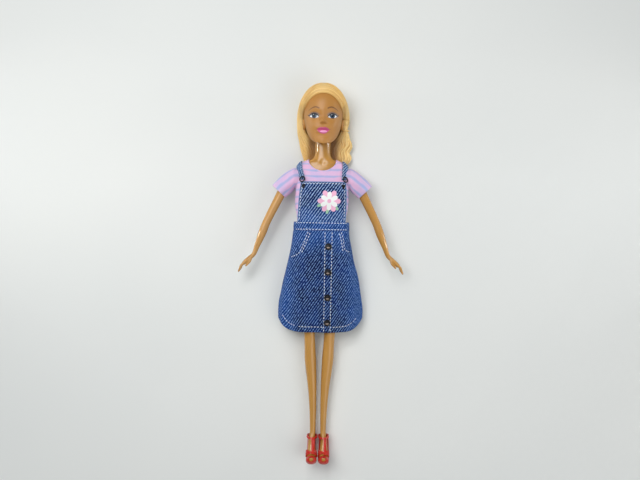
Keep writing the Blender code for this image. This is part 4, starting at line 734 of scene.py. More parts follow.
def moulded(name, slot, colour, roughness, tint, slow=60.0, **sockets):
    """Plastic or paint: the colour drifts a little and the surface is never quite even."""
    tree, shader = finish(name, slot, colour, roughness, **sockets)
    grain = use(tree, GRAIN, Vector=own_place(tree), Fine=900.0, Slow=slow)
    tone = mix(tree, grain["Tint"], scaled(colour, 1 - tint), scaled(colour, 1 + tint))
    tone_by(tree, shader, tone)
    tree.links.new(soften(tree, grain["Height"], 0.2, 0.8, roughness * 0.9, roughness * 1.15),
                   shader.inputs["Roughness"])
    raise_by(tree, shader, grain["Height"], 0.000004)
    return tree, shader, tone


for name, slot, colour, roughness, tint, slow, sockets in (
    ("skin", "skin_plastic", (184, 134, 62), 0.24, 0.05, 60.0, {"Coat_Weight": 0.35, "Coat_Roughness": 0.12}),
    ("black", "black_plastic", (14, 14, 18), 0.34, 0.2, 60.0, {"Specular_IOR_Level": 0.25}),
    ("snap_dish", "black_plastic", (150, 132, 120), 0.3, 0.2, 60.0, {"Metallic": 0.5}),
    ("red", "red_plastic", (194, 36, 17), 0.28, 0.06, 60.0, {"Coat_Weight": 0.25}),
    ("peg", "peg_plastic", (214, 206, 190), 0.42, 0.05, 60.0, {}),
    ("eye_white", "head_vinyl", (212, 218, 222), 0.3, 0.02, 60.0, {}),
    ("iris", "head_vinyl", (58, 76, 96), 0.2, 0.3, 900.0, {}),
    ("pupil", "head_vinyl", (20, 22, 30), 0.16, 0.1, 60.0, {}),
    ("lash", "head_vinyl", (34, 30, 34), 0.4, 0.1, 60.0, {}),
    ("brow", "head_vinyl", (124, 82, 46), 0.5, 0.12, 500.0, {}),
    ("lip", "head_vinyl", (204, 88, 138), 0.25, 0.06, 300.0, {}),
    ("lip_upper", "head_vinyl", (186, 74, 118), 0.3, 0.06, 300.0, {}),
    # The lower lip's painted highlight: a pale pink standing in for its gloss.
    ("lip_painted_highlight", "head_vinyl", (240, 160, 206), 0.2, 0.05, 300.0, {}),
    ("lip_line", "head_vinyl", (132, 44, 66), 0.35, 0.08, 300.0, {}),
    ("lining", "denim", (120, 142, 176), 0.9, 0.08, 200.0, {}),
    ("print_white", "denim", (240, 240, 238), 0.5, 0.03, 400.0, {}),
    ("print_pink", "denim", (236, 178, 206), 0.5, 0.05, 400.0, {}),
    ("print_green", "denim", (150, 196, 160), 0.5, 0.08, 400.0, {}),
):
    moulded(name, slot, shade(*colour), roughness, tint, slow, **sockets)

# The face's vinyl, with a veil of eye shadow round each eye.
EYE_X = 0.0069
EYE_Y = CHIN_Y + 0.0206
tree, shader, tone = moulded("vinyl", "head_vinyl", shade(180, 126, 60), 0.42, 0.05, Subsurface_Weight=0.04)
x_part, y_part, z_part = split(tree, own_place(tree))
beside = maths(tree, "DIVIDE", maths(tree, "SUBTRACT", off(tree, x_part, 0), 0.0070), 0.0043)
above = maths(tree, "DIVIDE", maths(tree, "SUBTRACT", y_part, EYE_Y + 0.0010), 0.0024)
reach = maths(tree, "SQRT", maths(tree, "ADD", times(tree, beside, beside), times(tree, above, above)))
front = soften(tree, z_part, HEAD_MID_Z, HEAD_MID_Z + 0.006)
veil = times(tree, soften(tree, reach, 1.2, 0.55, 0.0, 0.8), front)
tone_by(tree, shader, mix(tree, veil, tone, shade(98, 108, 126)))


# Hair: fine fibres along each piece, in pale and honey streaks, with painted shade that turns it brown beside
# the neck.
def hair_look(name, dark, middle, pale):
    tree, shader = finish(name, "hair_fibre", middle, 0.34, Specular_IOR_Level=0.6)
    fibre, clump = (
        speckle(tree, add(tree, "ShaderNodeMapping", {"Vector": own_surface(tree), "Scale": size}).outputs[0],
                1.0, detail)
        for size, detail in (((5200.0, 30.0, 1.0), 2.0), ((1100.0, 16.0, 1.0), 3.0))
    )
    tone = mix(tree, soften(tree, clump, 0.33, 0.66), dark, middle)
    tone = mix(tree, soften(tree, fibre, 0.40, 0.70, 0.0, 0.8), tone, pale)
    x_part, y_part, z_part = split(tree, own_place(tree))
    # Painted shade: brown laid on the hair beside the neck, below the chin and low down, where the neck
    # shades it.
    beside = soften(tree, off(tree, x_part, 0), 0.0140, 0.0090, 0.0, 0.85)
    under = soften(tree, y_part, CHIN_Y + 0.0170, CHIN_Y + 0.0060)
    low = times(tree, soften(tree, z_part, 0.0125, 0.0095), soften(tree, z_part, 0.0018, 0.0040))
    painted_shade = times(tree, times(tree, beside, under), low)
    tone_by(tree, shader, mix(tree, painted_shade, tone, shade(138, 88, 34)))
    raise_by(tree, shader, times(tree, fibre, 0.6, clump), 0.00010)


hair_look("hair", shade(200, 148, 70), shade(240, 198, 118), shade(255, 228, 160))
hair_look("hair_pale", shade(226, 180, 98), shade(250, 214, 138), shade(255, 236, 180))

# Jersey: pink, with soft wavy stripes of lilac and pale blue, and a fine knit.
STRIPE_PITCH = 0.0050
tree, shader = finish("jersey", "jersey", shade(222, 184, 216), 0.85, Sheen_Weight=0.1)
surface = own_surface(tree)
lines = times(tree, speckle(tree, surface, 45.0, 1.5), STRIPE_PITCH, split(tree, surface)[1])
wave = maths(tree, "SINE", times(tree, lines, TURN / STRIPE_PITCH))
fainter = speckle(tree, surface, 90.0)
band = soften(tree, times(tree, fainter, 1.3, wave), 0.75, 1.9)
body = mix(tree, soften(tree, fainter, 0.3, 0.7), shade(228, 182, 214), shade(208, 182, 218))
tone_by(tree, shader, mix(tree, band, body, shade(160, 172, 214)))
raise_by(tree, shader, use(tree, WEAVE, Vector=surface, Thread=0.00028)["Height"], 0.00003)


def denim(name, slot, deep, middle, pale, thread, pitch, width):
    """Printed twill: deep blue, washed paler at the sides and the waist, under slanting pale threads."""
    tree, shader = finish(name, slot, middle, 0.85, Specular_IOR_Level=0.1)
    surface = own_surface(tree)
    twill = use(tree, TWILL, Vector=surface, Pitch=pitch, Width=width)
    x_part, y_part = split(tree, own_place(tree))[:2]
    aside = soften(tree, off(tree, x_part, 0), 0.013, 0.030, 0.0, 0.5)
    high = soften(tree, off(tree, y_part, WAIST_Y - 0.006), 0.026, 0.004, 0.0, 0.45)
    worn = times(tree, maths(tree, "MAXIMUM", aside, high), times(tree, twill["Speck"], 2.0, 0.0))
    ground = mix(tree, worn, mix(tree, twill["Wash"], deep, middle), pale)
    share = times(tree, twill["Line"], times(tree, twill["Speck"], 2.2, -0.48))
    tone_by(tree, shader, mix(tree, share, ground, thread))
    weave = use(tree, WEAVE, Vector=surface, Thread=0.00032)["Height"]
    raise_by(tree, shader, times(tree, weave, 0.5, twill["Height"]), 0.00005)


denim("denim", "denim", shade(2, 14, 58), shade(6, 34, 94), shade(32, 78, 152), shade(138, 176, 230),
      0.00174, -0.05)
denim("bib_denim", "denim", shade(4, 24, 76), shade(12, 46, 108), shade(38, 84, 152), shade(172, 202, 240),
      0.00190, 0.1)
denim("strap_denim", "strap_denim", shade(24, 56, 108), shade(48, 88, 144), shade(96, 136, 182),
      shade(190, 212, 234), 0.00150, 0.1)

for name, slot, colour in (("thread", "denim", shade(226, 232, 240)),
                           ("tape", "hook_tape", shade(222, 216, 202)),
                           ("cut_edge", "denim", shade(112, 144, 188))):
    tree, shader = finish(name, slot, colour, 0.8)
    twist = speckle(tree, own_place(tree), 2200.0)
    tone_by(tree, shader, mix(tree, twist, scaled(colour, 0.82), colour))
    raise_by(tree, shader, twist, 0.00004)


# Torso: one table of sections feeds the skin, the T-shirt and the dress.
NECK_TOP_Y = CHIN_Y + NECK_RISE
CROTCH_Y = HIP_Y - TONGUE_DROP
TORSO_TABLE = (
    (CROTCH_Y, TONGUE_HALF_WIDTH, TONGUE_DROP * 0.7, TONGUE_DROP * 0.7),
    (HIP_Y - TONGUE_DROP / 2, HIP_HALF_WIDTH * 0.8, BELLY_DEPTH * 0.95, SEAT_DEPTH * 0.9),
    (HIP_Y, HIP_HALF_WIDTH, BELLY_DEPTH, SEAT_DEPTH),
    (HIP_Y + HIP_TO_WAIST * 0.4, HIP_HALF_WIDTH, BELLY_DEPTH * 1.05, SEAT_DEPTH),
    (HIP_Y + HIP_TO_WAIST * 0.7, HIP_HALF_WIDTH * 0.91, BELLY_DEPTH, SEAT_DEPTH * 0.85),
    (WAIST_Y, WAIST_HALF_WIDTH, WAIST_DEPTH, SMALL_OF_BACK_DEPTH),
    (WAIST_Y + WAIST_TO_BUST * 0.35, WAIST_HALF_WIDTH * 1.04, WAIST_DEPTH * 1.06, SMALL_OF_BACK_DEPTH),
    (WAIST_Y + WAIST_TO_BUST * 0.68, RIBS_HALF_WIDTH, BUST_DEPTH * 0.93, BACK_DEPTH * 0.9),
    (BUST_Y, CHEST_HALF_WIDTH * 0.97, BUST_DEPTH, BACK_DEPTH),
    (BUST_Y + BUST_TO_SHOULDER / 2, CHEST_HALF_WIDTH, BUST_DEPTH * 0.9, BACK_DEPTH),
    (SHOULDER_Y, CHEST_HALF_WIDTH, BUST_DEPTH * 0.73, BACK_DEPTH * 0.97),
    (SHOULDER_Y + SHOULDER_TO_NECK * 0.35, CHEST_HALF_WIDTH * 0.98, COLLAR_DEPTH * 1.1, BACK_DEPTH * 0.85),
    (SHOULDER_Y + SHOULDER_TO_NECK * 0.62, COLLAR_HALF_WIDTH, COLLAR_DEPTH, COLLAR_DEPTH * 1.08),
    (SHOULDER_Y + SHOULDER_TO_NECK * 0.84, COLLAR_HALF_WIDTH * 0.79, COLLAR_DEPTH * 0.93, COLLAR_DEPTH),
    (NECK_Y, BASE_HALF_WIDTH, COLLAR_DEPTH * 0.88, COLLAR_DEPTH * 0.92),
    (NECK_Y + NECK_TO_CHIN * 0.4, NECK_HALF_WIDTH, NECK_HALF_DEPTH, NECK_HALF_DEPTH),
    (NECK_TOP_Y, NECK_HALF_WIDTH, NECK_HALF_DEPTH, NECK_HALF_DEPTH),
)

FACE_DEPTH = FACE_Z - HEAD_MID_Z
CHIN_DEPTH = CHIN_Z - HEAD_MID_Z
SKULL_DEPTH = HEAD_MID_Z - SKULL_Z
HEAD_TABLE = (
    (CHIN_Y + JAW_RISE, JAW_HALF_WIDTH * 0.85, CHIN_DEPTH * 0.84, SKULL_DEPTH * 0.62, JAW_DROP),
    (CHIN_Y + JAW_RISE * 1.04, JAW_HALF_WIDTH, CHIN_DEPTH, SKULL_DEPTH * 0.74, JAW_DROP * 1.04),
    *((CHIN_Y + CHIN_TO_CROWN * high, FACE_HALF_WIDTH * wide, depth, SKULL_DEPTH * back, JAW_DROP * drop)
      for high, wide, depth, back, drop in (
          (0.15, 0.71, CHIN_DEPTH * 1.03, 0.83, 0.9), (0.22, 0.83, CHIN_DEPTH * 1.05, 0.9, 0.6),
          (0.34, 0.94, FACE_DEPTH * 0.94, 0.96, 0), (0.46, 1, FACE_DEPTH * 0.94, 1, 0),
          (0.60, 1, FACE_DEPTH, 1, 0), (0.75, 0.96, FACE_DEPTH * 0.94, 0.92, 0),
          (0.87, 0.82, FACE_DEPTH * 0.75, 0.73, 0), (0.95, 0.58, FACE_DEPTH * 0.50, 0.5, 0))),
    (CROWN_Y, FACE_HALF_WIDTH * 0.2, FACE_DEPTH * 0.16, SKULL_DEPTH * 0.16, 0),
)

HEAD_LOW = HEAD_TABLE[0][0]


# Skin: the torso under the clothes, the legs and the arms.
def torso_point(angle, place):
    half_width, front, back = read(TORSO_TABLE, place)
    x, z = oval(angle, half_width, front, back)
    if place > BUST_Y:
        x = clamp(x, -SHOULDER_SEAT_X, SHOULDER_SEAT_X)
    return Vector((x, place, BODY_MID_Z + z))


def notch_relief(u, v):
    """The throat's hollow and the collar bones, seen in the neckline."""
    point = torso_point(TURN * u, CROTCH_Y + (NECK_TOP_Y - CROTCH_Y) * v)
    if point.z < BODY_MID_Z:
        return 0
    up = point.y - NECK_Y
    hollow = -0.0006 * bump(point.x, 0.0016) * bump(up + 0.0022, 0.0018)
    bones = 0.00045 * bump(up + 0.0042 - abs(point.x) * 0.12, 0.0012) * bump(abs(point.x) - 0.0062, 0.0042)
    return hollow + bones


build = cloth(72, 150, lambda u, v: torso_point(TURN * u, CROTCH_Y + (NECK_TOP_Y - CROTCH_Y) * v), True,
              core=BODY_CORE, relief=notch_relief)
piece("torso_skin", close_ends(build), "skin", "torso", ("torso_front", "torso_back"))


def leg_stations():
    """Stations of a leg by their distance along it: centre, half sizes and how far the foot leans up."""
    rows = []
    for share in (0.97, 0.8, 0.5, 0):
        depth = HIP_RADIUS * math.sqrt(1 - share ** 2)
        reach = THIGH_HALF_WIDTH * (1 - 0.45 * share ** 3)
        rows.append((HIP_X - (THIGH_HALF_WIDTH - reach), HIP_Y + HIP_RADIUS * share, BODY_MID_Z, reach,
                     depth, 0))
    thigh = HIP_Y - KNEE_Y
    rows += [
        (HIP_X - (HIP_X - KNEE_X) * 0.2, HIP_Y - thigh * 0.2, BODY_MID_Z, THIGH_HALF_WIDTH * 0.97,
         THIGH_HALF_DEPTH, 0),
        ((HIP_X + KNEE_X) / 2, HIP_Y - thigh / 2, (BODY_MID_Z + KNEE_Z) / 2, MID_THIGH_HALF_WIDTH,
         THIGH_HALF_DEPTH * 0.78, 0),
        (KNEE_X + (HIP_X - KNEE_X) * 0.15, KNEE_Y + thigh * 0.18, KNEE_Z, KNEE_HALF_WIDTH * 1.1,
         KNEE_HALF_WIDTH * 1.2, 0),
        (KNEE_X, KNEE_Y, KNEE_Z, KNEE_HALF_WIDTH, KNEE_HALF_WIDTH, 0),
        ((KNEE_X + CALF_X) / 2, (KNEE_Y + CALF_Y) / 2, (KNEE_Z + CALF_Z) / 2, CALF_HALF_WIDTH * 0.96,
         CALF_HALF_WIDTH * 1.02, 0),
        (CALF_X, CALF_Y, CALF_Z, CALF_HALF_WIDTH, CALF_HALF_WIDTH * 1.06, 0),
        (SHIN_X, ANKLE_Y + SHIN_ABOVE_ANKLE, SHIN_Z, SHIN_HALF_WIDTH, SHIN_HALF_WIDTH, 0),
        (ANKLE_X, ANKLE_Y, ANKLE_Z, ANKLE_HALF_WIDTH, ANKLE_HALF_WIDTH * 1.15, 0),
        (FOOT_X, ANKLE_Y - HEEL_DROP, ANKLE_Z + INSTEP_RISE * 0.1, HEEL_HALF_WIDTH, HEEL_HALF_DEPTH, 0.12),
        (FOOT_X, ANKLE_Y - INSTEP_DROP, ANKLE_Z + INSTEP_RISE, INSTEP_HALF_WIDTH, INSTEP_HALF_DEPTH, 0.48),
        (FOOT_X, ANKLE_Y - BALL_DROP, ANKLE_Z + BALL_RISE, BALL_HALF_WIDTH, BALL_HALF_DEPTH, 0.78),
        (FOOT_X, ANKLE_Y - TOE_DROP, ANKLE_Z + TOE_RISE, TOE_HALF_WIDTH, TOE_HALF_DEPTH, 1),
        (FOOT_X, ANKLE_Y - TOE_DROP, ANKLE_Z + TOE_RISE + TOE_HALF_DEPTH * 0.9, TOE_HALF_WIDTH * 0.6,
         TOE_HALF_DEPTH * 0.5, 1),
    ]
    table = []
    run = 0.0
    for index, row in enumerate(rows):
        if index:
            run += (Vector(row[:3]) - Vector(rows[index - 1][:3])).length
        table.append((run,) + row)
    return table


LEG_TABLE = leg_stations()
ANKLE_RUN = LEG_TABLE[11][0]
BALL_RUN = LEG_TABLE[14][0]
TOE_RUN = LEG_TABLE[-1][0]
TOE_Y = ANKLE_Y - TOE_DROP
TOE_Z = ANKLE_Z + TOE_RISE


def leg_point(side, run, angle, grow=0.0):
    x, y, z, half_width, half_depth, share = read(LEG_TABLE, run)
    lean = QUARTER * share
    across, up = oval(angle, half_width + grow, half_depth + grow, half_depth + grow, ROUND)
    return mirror(side, (x + across, y + up * math.sin(lean), z + up * math.cos(lean)))


def leg_relief(u, v):
    """A kneecap and the hollows beside it, and the shin's edge."""
    run = TOE_RUN * v
    angle = TURN * u
    front = max(math.sin(angle), 0)
    knee = run - LEG_TABLE[7][0]
    cap = 0.00055 * bump(knee, 0.0042) * front ** 3
    dent = -0.0003 * bump(knee - 0.001, 0.005) * bump(abs(math.cos(angle)) - 0.75, 0.25) * front
    shin = 0.0002 * bump(knee - 0.028, 0.018) * front ** 8
    return cap + dent + shin


# The bands of each sandal, laid over the foot's own form, and the cap round its toes.
SHOE_OUT = GAP + SHOE_WALL
PEEP_Y = TOE_Y + 0.0009
CAP_TABLE = (
    (0.00, TOE_Z - 0.0078, TOE_Y - 0.0003, 0.00385, 0.00270),
    (0.16, TOE_Z - 0.0048, TOE_Y - 0.0003, 0.00410, 0.00290),
    (0.38, TOE_Z - 0.0016, TOE_Y - 0.0001, 0.00412, 0.00295),
    (0.55, TOE_Z + 0.0002, TOE_Y + 0.0001, 0.00375, 0.00275),
    (0.72, TOE_Z + 0.0013, TOE_Y + 0.0005, 0.00290, 0.00235),
    (0.86, TOE_Z + 0.0018, TOE_Y + 0.0008, 0.00215, 0.00200),
    (0.95, TOE_Z + 0.0018, PEEP_Y, PEEP_RADIUS * 1.08, PEEP_RADIUS * 1.08),
    (1.00, TOE_Z + 0.0014, PEEP_Y, PEEP_RADIUS, PEEP_RADIUS),
)
BAND_RUN = ANKLE_RUN + 0.0036
FOOT_CORE = {side: (side * FOOT_X, ANKLE_Z + INSTEP_RISE) for side in (1, -1)}

for side_name, side in SIDES:
    build = cloth(36, 170, lambda u, v: leg_point(side, TOE_RUN * v, TURN * u), True, relief=leg_relief)
    leg_body = "leg_body_" + side_name
    toe = ball(24, 16, (side * FOOT_X, PEEP_Y, TOE_Z + 0.0002), (0.0022, 0.0019, 0.0013))
    piece("leg_skin_" + side_name, merge([face_out(close_ends(build)), toe]), "skin", leg_body,
          ("leg_" + side_name,))

    # Ankle band: lower at the front than at the sides, round the whole ankle.
    def ankle_band(u, v):
        angle = TURN * u
        run = BAND_RUN + 0.0020 * max(math.sin(angle), 0) ** 1.6
        return leg_point(side, run + 0.00095 * (2 * v - 1), angle, SHOE_OUT)
    parts = [weld(cloth(48, 6, ankle_band, core=FOOT_CORE[side]))]

    # The sole under the foot, up to the toes.
    def sole(u, v):
        run = BAND_RUN + (TOE_RUN - 0.0016 - ANKLE_RUN - 0.0036) * v
        return leg_point(side, run, -QUARTER + math.radians(58) * (2 * u - 1), SHOE_OUT)
    parts.append(cloth(20, 50, sole))

    # The strap down the middle of the foot.
    def middle(u, v):
        run = ANKLE_RUN + 0.0052 + (BALL_RUN + 0.0022 - ANKLE_RUN - 0.0052) * v
        half_width = read(LEG_TABLE, run)[3] + SHOE_OUT
        across = side * T_STRAP_X + T_STRAP_HALF_WIDTH * (2 * u - 1)
        return leg_point(side, run, math.acos(clamp(across / half_width, -1)), SHOE_OUT + 0.0001)
    parts.append(cloth(6, 30, middle))

    # Two straps that cross over the toes and one behind them.
    for lean, lift in ((-1, 0.0), (1, 0.00012), (0, 0.00006)):
        def cross(u, v):
            angle = math.radians(-24) + math.radians(228) * u
            run = BALL_RUN - 0.0027 - lean * 0.0021 * math.cos(angle) + 0.0024 * max(math.sin(angle), 0)
            return leg_point(side, run + 0.00062 * (2 * v - 1), angle, SHOE_OUT + lift)
        parts.append(cloth(30, 6, cross, core=FOOT_CORE[side]))

    # The toe cap, a dome round the toes with a round hole over them.
    def cover(u, v):
        z, y, half_width, half_depth = read(CAP_TABLE, v)
        angle = TURN * u
        return Vector((side * FOOT_X + half_width * math.cos(angle), y + half_depth * math.sin(angle), z))
    parts.append(cloth(44, 34, cover, True))
    piece("sandal_straps_" + side_name, merge([face_out(part) for part in parts]), "red", leg_body,
          ("shoe_" + side_name,), SHOE_WALL)

    sole_z = ANKLE_Z + TOE_RISE - PLATFORM_HALF_LENGTH + SHOE_WALL
    platform = turned(((0, 0), (0.70, 0), (0.78, 0.00010), (0.88, 0.00050), (0.95, 0.00105), (0.99, 0.0016),
                       (1, PLATFORM), (0, PLATFORM + 0.0004)),
                      (side * FOOT_X, SOLE_Y, sole_z), (0, 1, 0), 48,
                      (PLATFORM_HALF_WIDTH, PLATFORM_HALF_LENGTH, 1))
    heel_y = ANKLE_Y - HEEL_DROP
    heel = heel_y - SOLE_Y
    stiletto = turned(((0, heel), (STILETTO_TOP_RADIUS, heel), (STILETTO_TOP_RADIUS * 0.86, heel * 0.8),
                       (STILETTO_TIP_RADIUS * 1.06, heel * 0.35), (STILETTO_TIP_RADIUS, heel * 0.1),
                       (STILETTO_TIP_RADIUS * 1.12, heel * 0.08), (STILETTO_TIP_RADIUS * 1.12, 0), (0, 0)),
                      (side * FOOT_X, SOLE_Y, STILETTO_TOP_RADIUS + GAP * 2), (0, 1, 0), 32)
    piece("sandal_sole_" + side_name, merge([platform, stiletto]), "red", leg_body, sharp=40)


# Arms: a bent tube with a palm, four fingers and a thumb grown together.
def arm_stations():
    shoulder = Vector((ARM_CAP_X, SHOULDER_Y, BODY_MID_Z))

    def along(slant):
        return Vector((math.sin(slant), -math.cos(slant), 0))

    upper = along(UPPER_ARM_SLANT)
    fore = along(FOREARM_SLANT)
    hand = along(HAND_SLANT)
    elbow = shoulder + upper * UPPER_ARM
    wrist = elbow + fore * FOREARM
    knuckle = wrist + hand * PALM
    out = Vector((1, 0, 0))
    seat = Vector((SHOULDER_SEAT_X + GAP, SHOULDER_Y, BODY_MID_Z))
    rows = [
        (seat, out, ARM_CAP_HALF_WIDTH, ARM_CAP_HALF_WIDTH),
        (seat + out * (ARM_CAP_X - SHOULDER_SEAT_X) * 0.4, out, ARM_CAP_HALF_WIDTH * 1.05,
         ARM_CAP_HALF_WIDTH * 1.05),
        (shoulder, (out + upper).normalized(), ARM_CAP_HALF_WIDTH * 0.98, ARM_CAP_HALF_WIDTH),
        (shoulder + upper * UPPER_ARM * 0.16, upper, ARM_CAP_HALF_WIDTH * 0.82, ARM_CAP_HALF_WIDTH * 0.88),
        (shoulder + upper * UPPER_ARM * 0.5, upper, UPPER_ARM_HALF_WIDTH, UPPER_ARM_HALF_WIDTH * 1.05),
        (elbow, (upper + fore).normalized(), ELBOW_HALF_WIDTH, ELBOW_HALF_WIDTH),
        (elbow + fore * FOREARM * 0.35, fore, FOREARM_HALF_WIDTH * 1.04, FOREARM_HALF_WIDTH * 1.04),
        (elbow + fore * FOREARM * 0.75, fore, FOREARM_HALF_WIDTH * 0.72, FOREARM_HALF_WIDTH * 0.74),
        (wrist, (fore + hand).normalized(), WRIST_HALF_WIDTH, WRIST_HALF_WIDTH * 1.15),
        (wrist + hand * PALM * 0.4, hand, PALM_HALF_WIDTH, PALM_HALF_DEPTH * 0.86),
        (wrist + hand * PALM * 0.8, hand, PALM_HALF_WIDTH, PALM_HALF_DEPTH),
        (knuckle, hand, PALM_HALF_WIDTH * 0.8, PALM_HALF_DEPTH * 0.96),
    ]
    return rows, wrist, knuckle, hand, along(FINGER_SLANT)


def limb(side, rows, sides, count):
    """A smooth tube through stations of place, direction and half sizes, mirrored for the right arm."""
    table = []
    run = 0.0
    for index, (place, direction, half_width, half_depth) in enumerate(rows):
        if index:
            run += (place - rows[index - 1][0]).length
        table.append((run, *place, *direction, half_width, half_depth))
    def point(u, v):
        row = read(table, run * v)
        direction = Vector(row[3:6]).normalized()
        across = Vector((-direction.y, direction.x, 0)).normalized()
        wide, up = oval(TURN * u, row[6], row[7], row[7], ROUND)
        x, y, z = Vector(row[:3]) + across * wide
        return mirror(side, (x, y, z + up))
    return face_out(close_ends(cloth(sides, count, point, True)))


def finger(side, start, heading, turned_heading, length, half_width=FINGER_HALF_WIDTH):
    bend = start + heading * length * 0.4
    tip = bend + turned_heading * length * 0.6
    rows = [
        (start, heading, half_width * 1.05, half_width * 1.05),
        (bend, (heading + turned_heading).normalized(), half_width * 1.04, half_width),
        (bend + turned_heading * length * 0.3, turned_heading, half_width * 0.9, half_width * 0.92),
        (bend + turned_heading * length * 0.48, turned_heading, half_width * 0.78, half_width * 0.84),
        (tip - turned_heading * length * 0.02, turned_heading, half_width * 0.42, half_width * 0.5),
        (tip, turned_heading, half_width * 0.08, half_width * 0.1),
    ]
    return limb(side, rows, 14, 22)


for side_name, side in SIDES:
    rows, wrist, knuckle, hand, droop = arm_stations()
    parts = [limb(side, rows, 30, 120)]
    for index, share in enumerate(FINGER_SHARES):
        fan = (1.5 - index) * 0.06
        shift = Vector((0, 0, (1.5 - index) * FINGER_PITCH))
        start = knuckle - hand * FINGER_HALF_WIDTH * 2.2 + shift
        bent = (droop + Vector((0, 0, fan))).normalized()
        parts.append(finger(side, start, hand, bent, FINGER_LENGTH * share + FINGER_HALF_WIDTH * 0.7))
    aside = Vector((-math.cos(HAND_SLANT), -math.sin(HAND_SLANT), 0))
    thumb_start = wrist + hand * PALM * 0.26 + aside * PALM_HALF_WIDTH * 0.4
    thumb_start.z += PALM_HALF_DEPTH * 0.5
    inward = (hand + aside * 0.5 + Vector((0, 0, 0.25))).normalized()
    outward = (hand + aside * 0.12).normalized()
    parts.append(finger(side, thumb_start, inward, outward, THUMB_LENGTH * 1.06, FINGER_HALF_WIDTH * 1.05))
    grown = show("arm", mesh_of("arm", merge(parts)))
    step = grown.modifiers.new("grow together", "REMESH")
    step.mode = "VOXEL"
    step.voxel_size = 0.00024
    soften_step = grown.modifiers.new("soften", "SMOOTH")
    soften_step.iterations = 5
    settle(grown)
    build = bmesh.new()
    build.from_mesh(grown.data)
    bpy.data.objects.remove(grown)
    piece("arm_skin_" + side_name, build, "skin", "arm_body_" + side_name, ("arm_" + side_name,))

for name, look in (("shoulder_peg_left", "peg"), ("shoulder_peg_right", "peg"), ("hip_axle", "peg"),
                   ("neck_knob", "skin")):
    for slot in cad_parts[name].material_slots:
        slot.material = LOOKS[look][0]


# Head: the sections of the model with a finer face.
def face_form(x, y):
    """How far the face stands out of the plain oval at a place seen from the front, in metres."""
    across = abs(x) * 1000
    up = (y - CHIN_Y) * 1000
    slope = clamp((26.8 - up) / 9.8)
    nose = (0.35 + 2.35 * slope ** 1.5) * bump(across, 1.15 + 0.75 * slope)
    nose *= ease((up - 14.4) / 2.4) * (1 - ease((up - 24.5) / 4.5))
    relief = nose + 0.75 * bump(across - 1.75, 0.85) * bump(up - 16.1, 1.05)
    relief -= 1.25 * bump(across - 6.7, 4.4) * bump(up - 20.9, 3.1)
    relief += 0.95 * bump(across - 6.9, 2.9) * bump(up - 20.6, 2.1)
    relief += 0.35 * bump(across - 6.6, 5.0) * bump(up - 26.2, 1.8)
    relief += 0.75 * bump(across - 8.4, 4.4) * bump(up - 13.2, 4.2)
    relief -= 0.30 * bump(across, 0.8) * bump(up - 13.4, 0.9)
    wide = max(1 - (across / 6.0) ** 2, 0) ** 0.6
    mouth = 10.5 + 0.009 * across ** 2
    relief += wide * (0.85 * bump(up - mouth - 1.25, 1.05) + 1.05 * bump(up - mouth + 1.25, 1.15))
    relief -= 0.30 * wide * bump(up - mouth, 0.5)
    relief -= 0.35 * bump(across, 3.4) * bump(up - 5.9, 0.95)
    relief += 0.85 * bump(across, 3.8) * bump(up - 2.8, 2.6)
    return relief * 0.001


def head_point(angle, place):
    half_width, front, back, drop = read(HEAD_TABLE, place)
    x, z = oval(angle, half_width, front, back, ROUND)
    y = place - drop * max(z, 0) / CHIN_DEPTH
    if z > 0:
        z += face_form(x, y) * ease(z / 0.004)
    return Vector((x, y, HEAD_MID_Z + z))


def face_place(x, y):
    """The face's surface at a place seen from the front."""
    place = max(y, HEAD_LOW)
    z = 0.0
    for _ in range(14):
        half_width, front, _, drop = read(HEAD_TABLE, place)
        share = min(abs(x) / half_width, 0.999)
        z = front * math.sqrt(1 - share ** 2)
        place = clamp(place + (y - place + drop * z / CHIN_DEPTH), HEAD_LOW, CROWN_Y)
    return Vector((x, y, HEAD_MID_Z + z + face_form(x, y) * ease(z / 0.004)))


build = cloth(220, 150, lambda u, v: head_point(TURN * u, HEAD_LOW + (CROWN_Y - HEAD_LOW) * v), True,
              core=HEAD_CORE)
parts = [face_out(close_ends(build))]
for side in (-1, 1):
    # An ear: a bent shell with a rim and a hollow.
    ear = ball(32, 24)
    for vert in ear.verts:
        x, y, z = vert.co
        rim = math.sqrt(y * y + z * z)
        hollow = 0.55 * bump(rim - 0.35, 0.4) if x > 0 else 0
        taper = 1 - 0.28 * max(-y, 0)
        vert.co = Vector((
            side * (FACE_HALF_WIDTH + (x - hollow) * EAR_HALF_WIDTH * (1.05 + 0.5 * max(y, 0))),
            CHIN_Y + EAR_ABOVE_CHIN + y * EAR_HALF_LENGTH,
            EAR_Z + z * EAR_HALF_DEPTH * taper,
        ))
    parts.append(face_out(ear))
piece("head_vinyl", merge(parts), "vinyl", "head_body", ("head",))


PAINT = 0.000018


def paint(name, look, outline, layer, rings=6, around=44):
    piece(name, patch(outline, face_place, 0.00001, rings, around, 0.000015 + PAINT * layer), look,
          "head_body")


def paint_line(name, look, curve, width, layer, along=44):
    piece(name, face_up(strip(curve, width, face_place, 0.000025 + PAINT * layer, along)), look, "head_body")


def swelling(ends, more):
    """The width of a painted line that is widest at its middle."""
    return lambda share: ends + more * math.sin(math.pi * share)


